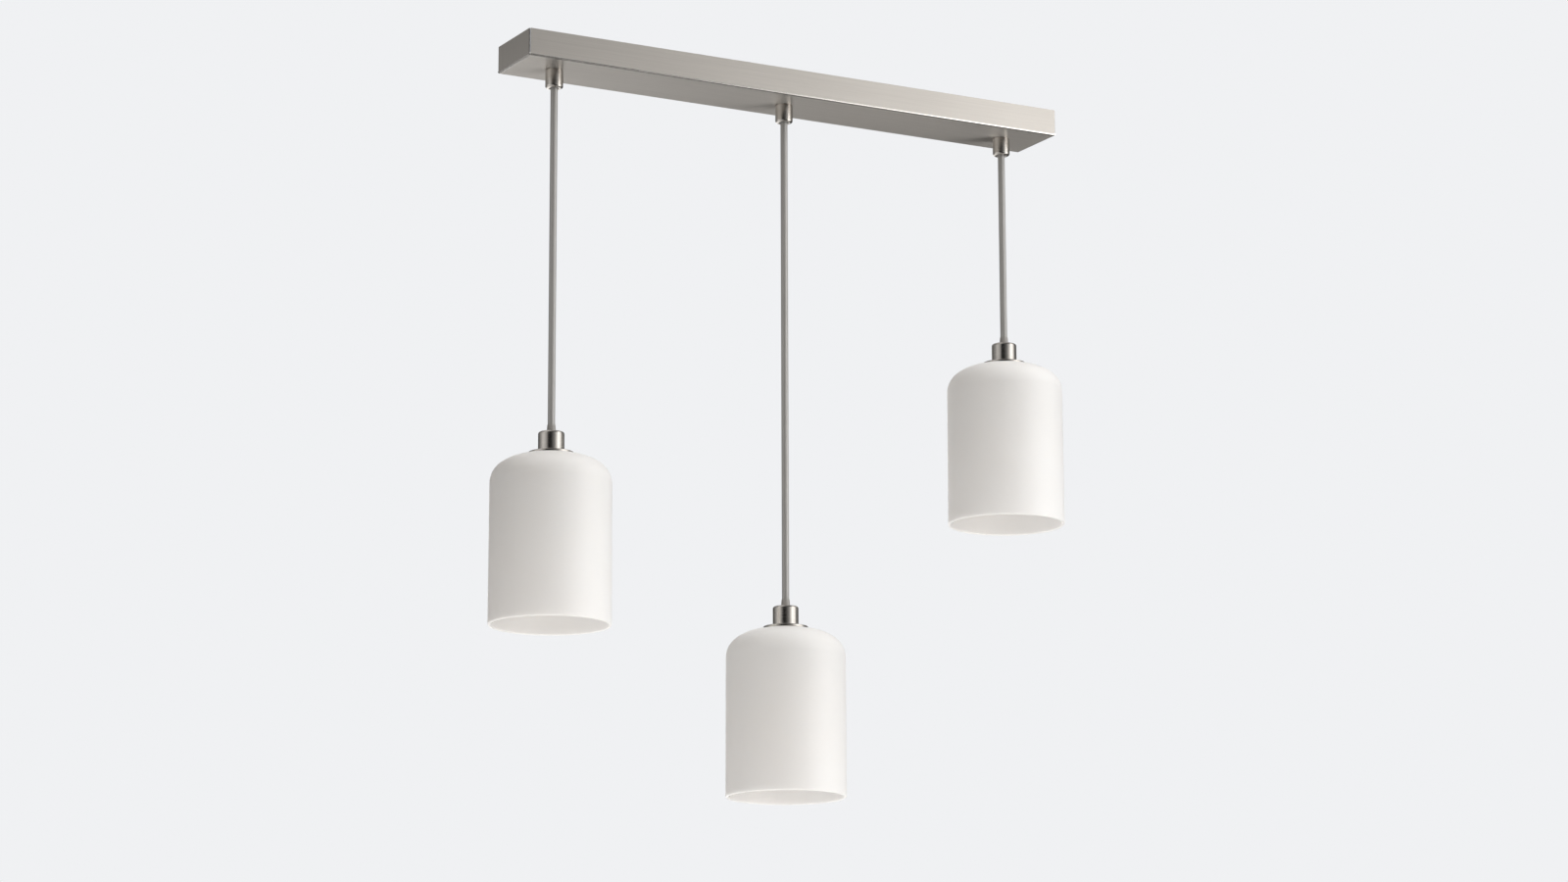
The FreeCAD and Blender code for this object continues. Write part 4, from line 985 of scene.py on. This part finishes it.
def makeShade(side, x, level, foot, low):
    # A flat seat, a crown arc and a shoulder arc that touch, a wall that opens by the flare, and a round rim.
    # The inside repeats the outside at the wall's thickness. The foot's radius and the height are the CAD's.
    flare, wall, flat, crown, shoulder, hole, holeEdge, seam, columns = shadeSettings.values()
    body, rim, seam = foot - flare, wall / 2, flat - seam
    between = crown - shoulder
    meet = math.acos((body - shoulder - flat) / between)
    shoulderLevel = between * math.sin(meet) - crown

    def arc(centreX, centreZ, radius, first, last, count):
        angle = np.linspace(first, last, count)[:, None]
        return np.hstack([centreX + radius * np.cos(angle), centreZ + radius * np.sin(angle)])

    outline = np.concatenate([
        roundedOutline([(hole, -rim, 0), (hole, 0, holeEdge), (seam, 0, 0)], 4, closed=False),
        arc(flat, -crown, crown, math.pi / 2, meet, 18)[:-1],
        arc(body - shoulder, shoulderLevel, shoulder, meet, 0, 20),
        finer(np.array([[body, shoulderLevel], [foot, low + rim]]), 6)[1:],
        arc(foot - rim, low + rim, rim, 0, -math.pi, 14)[1:],
        finer(np.array([[foot - wall, low + rim], [body - wall, shoulderLevel]]), 6)[1:],
        arc(body - shoulder, shoulderLevel, shoulder - wall, 0, meet, 20)[1:],
        arc(flat, -crown, crown - wall, meet, math.pi / 2, 18)[1:],
        roundedOutline([(seam, -wall, 0), (hole, -wall, holeEdge), (hole, -rim, 0)], 4, closed=False)[:-1]])
    rows = [("glassShade", outline, True, columns, None, "opal_glass", f"glass_shade_{side}")]
    addTurned(rows, side, f"lamp_{side}", (x, 0, level), 40)


for side in sides:
    shadeLow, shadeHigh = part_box(f"glass_shade_{side}")
    middle = (shadeLow.x + shadeHigh.x) / 2
    makeFittings(side, middle, shadeHigh.z)
    makeSocket(side, middle, shadeHigh.z)
    makeShade(side, middle, shadeHigh.z, (shadeHigh.x - shadeLow.x) / 2 / mm, (shadeLow.z - shadeHigh.z) / mm)
print("lamps made")


stageSettings = {
    "floorLevel": -2.4,
    "floorSize": 30.0,
    "floorFade": (3.0, 5.5),                  # how far out the floor starts to fade and is gone
    "floorRoughness": 0.8,
    "floorColour": (0.87, 0.875, 0.885),
    "background": (0.871, 0.880, 0.896),      # what the camera sees behind the object
    "daylight": 0.31,                         # even light from all round
    "warmTint": (1.0, 0.952, 0.90),           # of the even light and of every soft box but the key light
    "lights": {
        # Soft boxes: direction, height over the horizon, distance, width, height, power, and a tint of its own.
        "keyLight": (50, 30, 3.6, 3.4, 3.2, 84, (0.982, 1.0, 1.01)),
        "frontLight": (0, 12, 3.6, 3.4, 3.2, 25),
        "topLight": (20, 62, 3.6, 3.4, 3.2, 50),
        "backdropLight": (175, 12, 3.6, 4.5, 3.6, 90),
        "floorBounce": (0, -90, 1.9, 3.2, 3.2, 25),
    },
}
# What only reflections see: a drum of screens round the object, from the middle of its ground to the middle of its
# top. Each ring is a radius, a level and its brightness, or the table that gives the brightness by direction, in
# degrees from the viewer's side of the bar towards its right end. The dark stretch left of the viewer gives the
# turned parts their black line.
tentSettings = {
    "columns": 240,
    "rings": [
        (0, -2.35, 0.2), (2.2, -2.35, "near"), (5.5, -2.35, "foot"), (5.5, -0.9, "below"), (5.5, -0.4, "level"),
        (5.5, 1.0, "level"), (5.5, 1.6, "high"), (5.5, 2.5, "high"), (5.5, 5.5, "above"), (0, 5.5, 0.6)],
    "near": [
        (-180, 1.5), (-120, 0.8), (-70, 0.6), (-45, 0.35), (-25, 0.05), (40, 0.05), (60, 2.75), (90, 0.05),
        (150, 0.13), (180, 1.5)],
    "foot": [
        (-180, 0.6), (-160, 0.08), (-145, 0.35), (-116, 0.84), (-98, 1.1), (-76, 0.77), (-45, 0.4), (-28, 0.05),
        (28, 0.05), (34, 2), (40, 3.2), (52, 3.2), (64, 1.8), (80, 0.4), (110, 0.05), (145, 0.05), (153, 0.95),
        (160, 1.85), (170, 1.4), (180, 0.6)],
    "below": [
        (-180, 0.6), (-160, 0.08), (-145, 0.28), (-130, 0.44), (-116, 0.84), (-98, 1.1), (-76, 0.77), (-62, 0.28),
        (-52, 0.04), (-30, 0), (-14, 0.07), (28, 0.05), (34, 2), (40, 3.2), (52, 3.2), (64, 1.8), (80, 0.36),
        (110, 0.05), (145, 0.05), (153, 0.95), (160, 1.85), (170, 1.4), (180, 0.6)],
    "level": [
        (-180, 0.05), (-160, 0.05), (-145, 0.27), (-130, 0.35), (-116, 0.66), (-98, 0.95), (-76, 0.58),
        (-62, 0.29), (-55, 0), (-30, 0), (-16, 0.13), (-2, 0.34), (8, 0.51), (14, 1.2), (20, 1.25), (26, 1.55),
        (32, 2.6), (38, 1.9), (50, 1.6), (62, 1.75), (72, 0.54), (84, 0.2), (145, 0.17), (160, 1.3), (180, 0.05)],
    "high": [
        (-180, 0.2), (-150, 0.33), (-118, 0.06), (-84, 0.7), (-62, 0.44), (-50, 0), (-20, 0.09), (0, 0.07),
        (10, 0.26), (18, 0.05), (31, 0.05), (35, 1.67), (40, 3.2), (50, 2.15), (62, 1.18), (75, 0.42), (90, 0.05),
        (130, 0.05), (160, 0.7), (180, 0.2)],
    "above": [
        (-180, 0.5), (-140, 0.5), (-100, 0.8), (-60, 0.95), (-20, 0.12), (44, 0.12), (60, 0.45), (80, 0.8),
        (110, 0.5), (150, 0.5), (180, 0.5)],
}


def makeFloor():
    # A plain pale floor that keeps the shadow. Seen from underneath it is clear, so that views from below work, and
    # away from the object it fades into the pale background.
    size = stageSettings["floorSize"]
    places = [(x * size, y * size, stageSettings["floorLevel"]) for x, y in ((-1, -1), (1, -1), (1, 1), (-1, 1))]
    mesh = bpy.data.meshes.new("studioFloor")
    mesh.from_pydata(places, [], [(0, 1, 2, 3)])
    addObject("studioFloor", mesh)
    paint = Finish("paleFloor", Base_Color=stageSettings["floorColour"],
                   Roughness=stageSettings["floorRoughness"])
    away = paint.add("VectorMath")
    away.operation = "LENGTH"
    paint.fill(away, paint.add("TexCoord").outputs["Object"])
    start, end = stageSettings["floorFade"]
    fade = paint.add("MapRange", Value=away.outputs["Value"], From_Min=start, From_Max=end)
    gone = paint.math("MULTIPLY", fade.outputs["Result"], paint.seenRay())
    clear = paint.math("MAXIMUM", paint.add("NewGeometry").outputs["Backfacing"], gone)
    mix = paint.add("MixShader", clear, paint.shader, paint.add("BsdfTransparent"))
    paint.fill(paint.tree.nodes["Material Output"], Surface=mix)
    mesh.materials.append(paint.material)


def makeWorld():
    # The camera, reflections and clear surfaces see the pale background; everything else gets even light.
    world = bpy.data.worlds.new("paleStudio")
    bpy.context.scene.world = world
    world.use_nodes = True
    world.node_tree.nodes.clear()
    sky = Nodes(world.node_tree)
    even = sky.add("Background", Color=stageSettings["warmTint"], Strength=stageSettings["daylight"])
    pale = sky.add("Background", Color=stageSettings["background"])
    sky.add("OutputWorld", Surface=sky.add("MixShader", sky.seenRay(), even, pale))


def makeLight(name, turn, rise, away, width, height, power, tint=stageSettings["warmTint"]):
    # A soft box that looks at the middle of the object from the given direction.
    data = bpy.data.lights.new(name, "AREA")
    data.shape = "RECTANGLE"
    data.size = width
    data.size_y = height
    data.energy = power
    data.color = tint
    lamp = addObject(name, data)
    lamp.visible_glossy = False
    turnTo = Matrix.Rotation(math.radians(turn), 4, "Z") @ Matrix.Rotation(math.radians(90 - rise), 4, "X")
    aim = Matrix.Translation((0, 0, (cadLow.z + cadHigh.z) / 2))
    lamp.matrix_world = aim @ turnTo @ Matrix.Translation((0, 0, away))


def makeTent():
    # A closed drum of screens: x = r sin a, y = -r cos a, with the brightness of each point kept as an attribute.
    rings = tentSettings["rings"]
    angle = np.linspace(-180, 180, tentSettings["columns"], endpoint=False)
    around = np.radians(angle)
    radii = np.array([radius for radius, _, _ in rings])[:, None]
    levels = np.array([level for _, level, _ in rings])[:, None]
    points = np.stack([radii * np.sin(around), -radii * np.cos(around), levels + 0 * around], axis=-1)
    glow = [np.interp(angle, *np.transpose(tentSettings[table])) if isinstance(table, str) else 0 * angle + table
            for _, _, table in rings]
    mesh = quadMesh("reflectionTent", points, (False, True))
    layer = mesh.attributes.new("glow", "FLOAT", "POINT")
    layer.data.foreach_set("value", np.concatenate(glow).astype(np.float32))
    material = bpy.data.materials.new("screens")
    material.use_nodes = True
    material.node_tree.nodes.clear()
    screens = Nodes(material.node_tree)
    read = screens.add("Attribute")
    read.attribute_name = "glow"
    screens.add("OutputMaterial", Surface=screens.add("Emission", Strength=read.outputs["Fac"]))
    mesh.materials.append(material)
    tent = addObject("reflectionTent", mesh)
    for ray in ("camera", "diffuse", "transmission", "volume_scatter", "shadow"):
        setattr(tent, f"visible_{ray}", False)


makeFloor()
makeWorld()
makeTent()
for name, light in stageSettings["lights"].items():
    makeLight(name, *light)
bpy.context.scene.view_settings.view_transform = "Standard"
print("stage and light made")
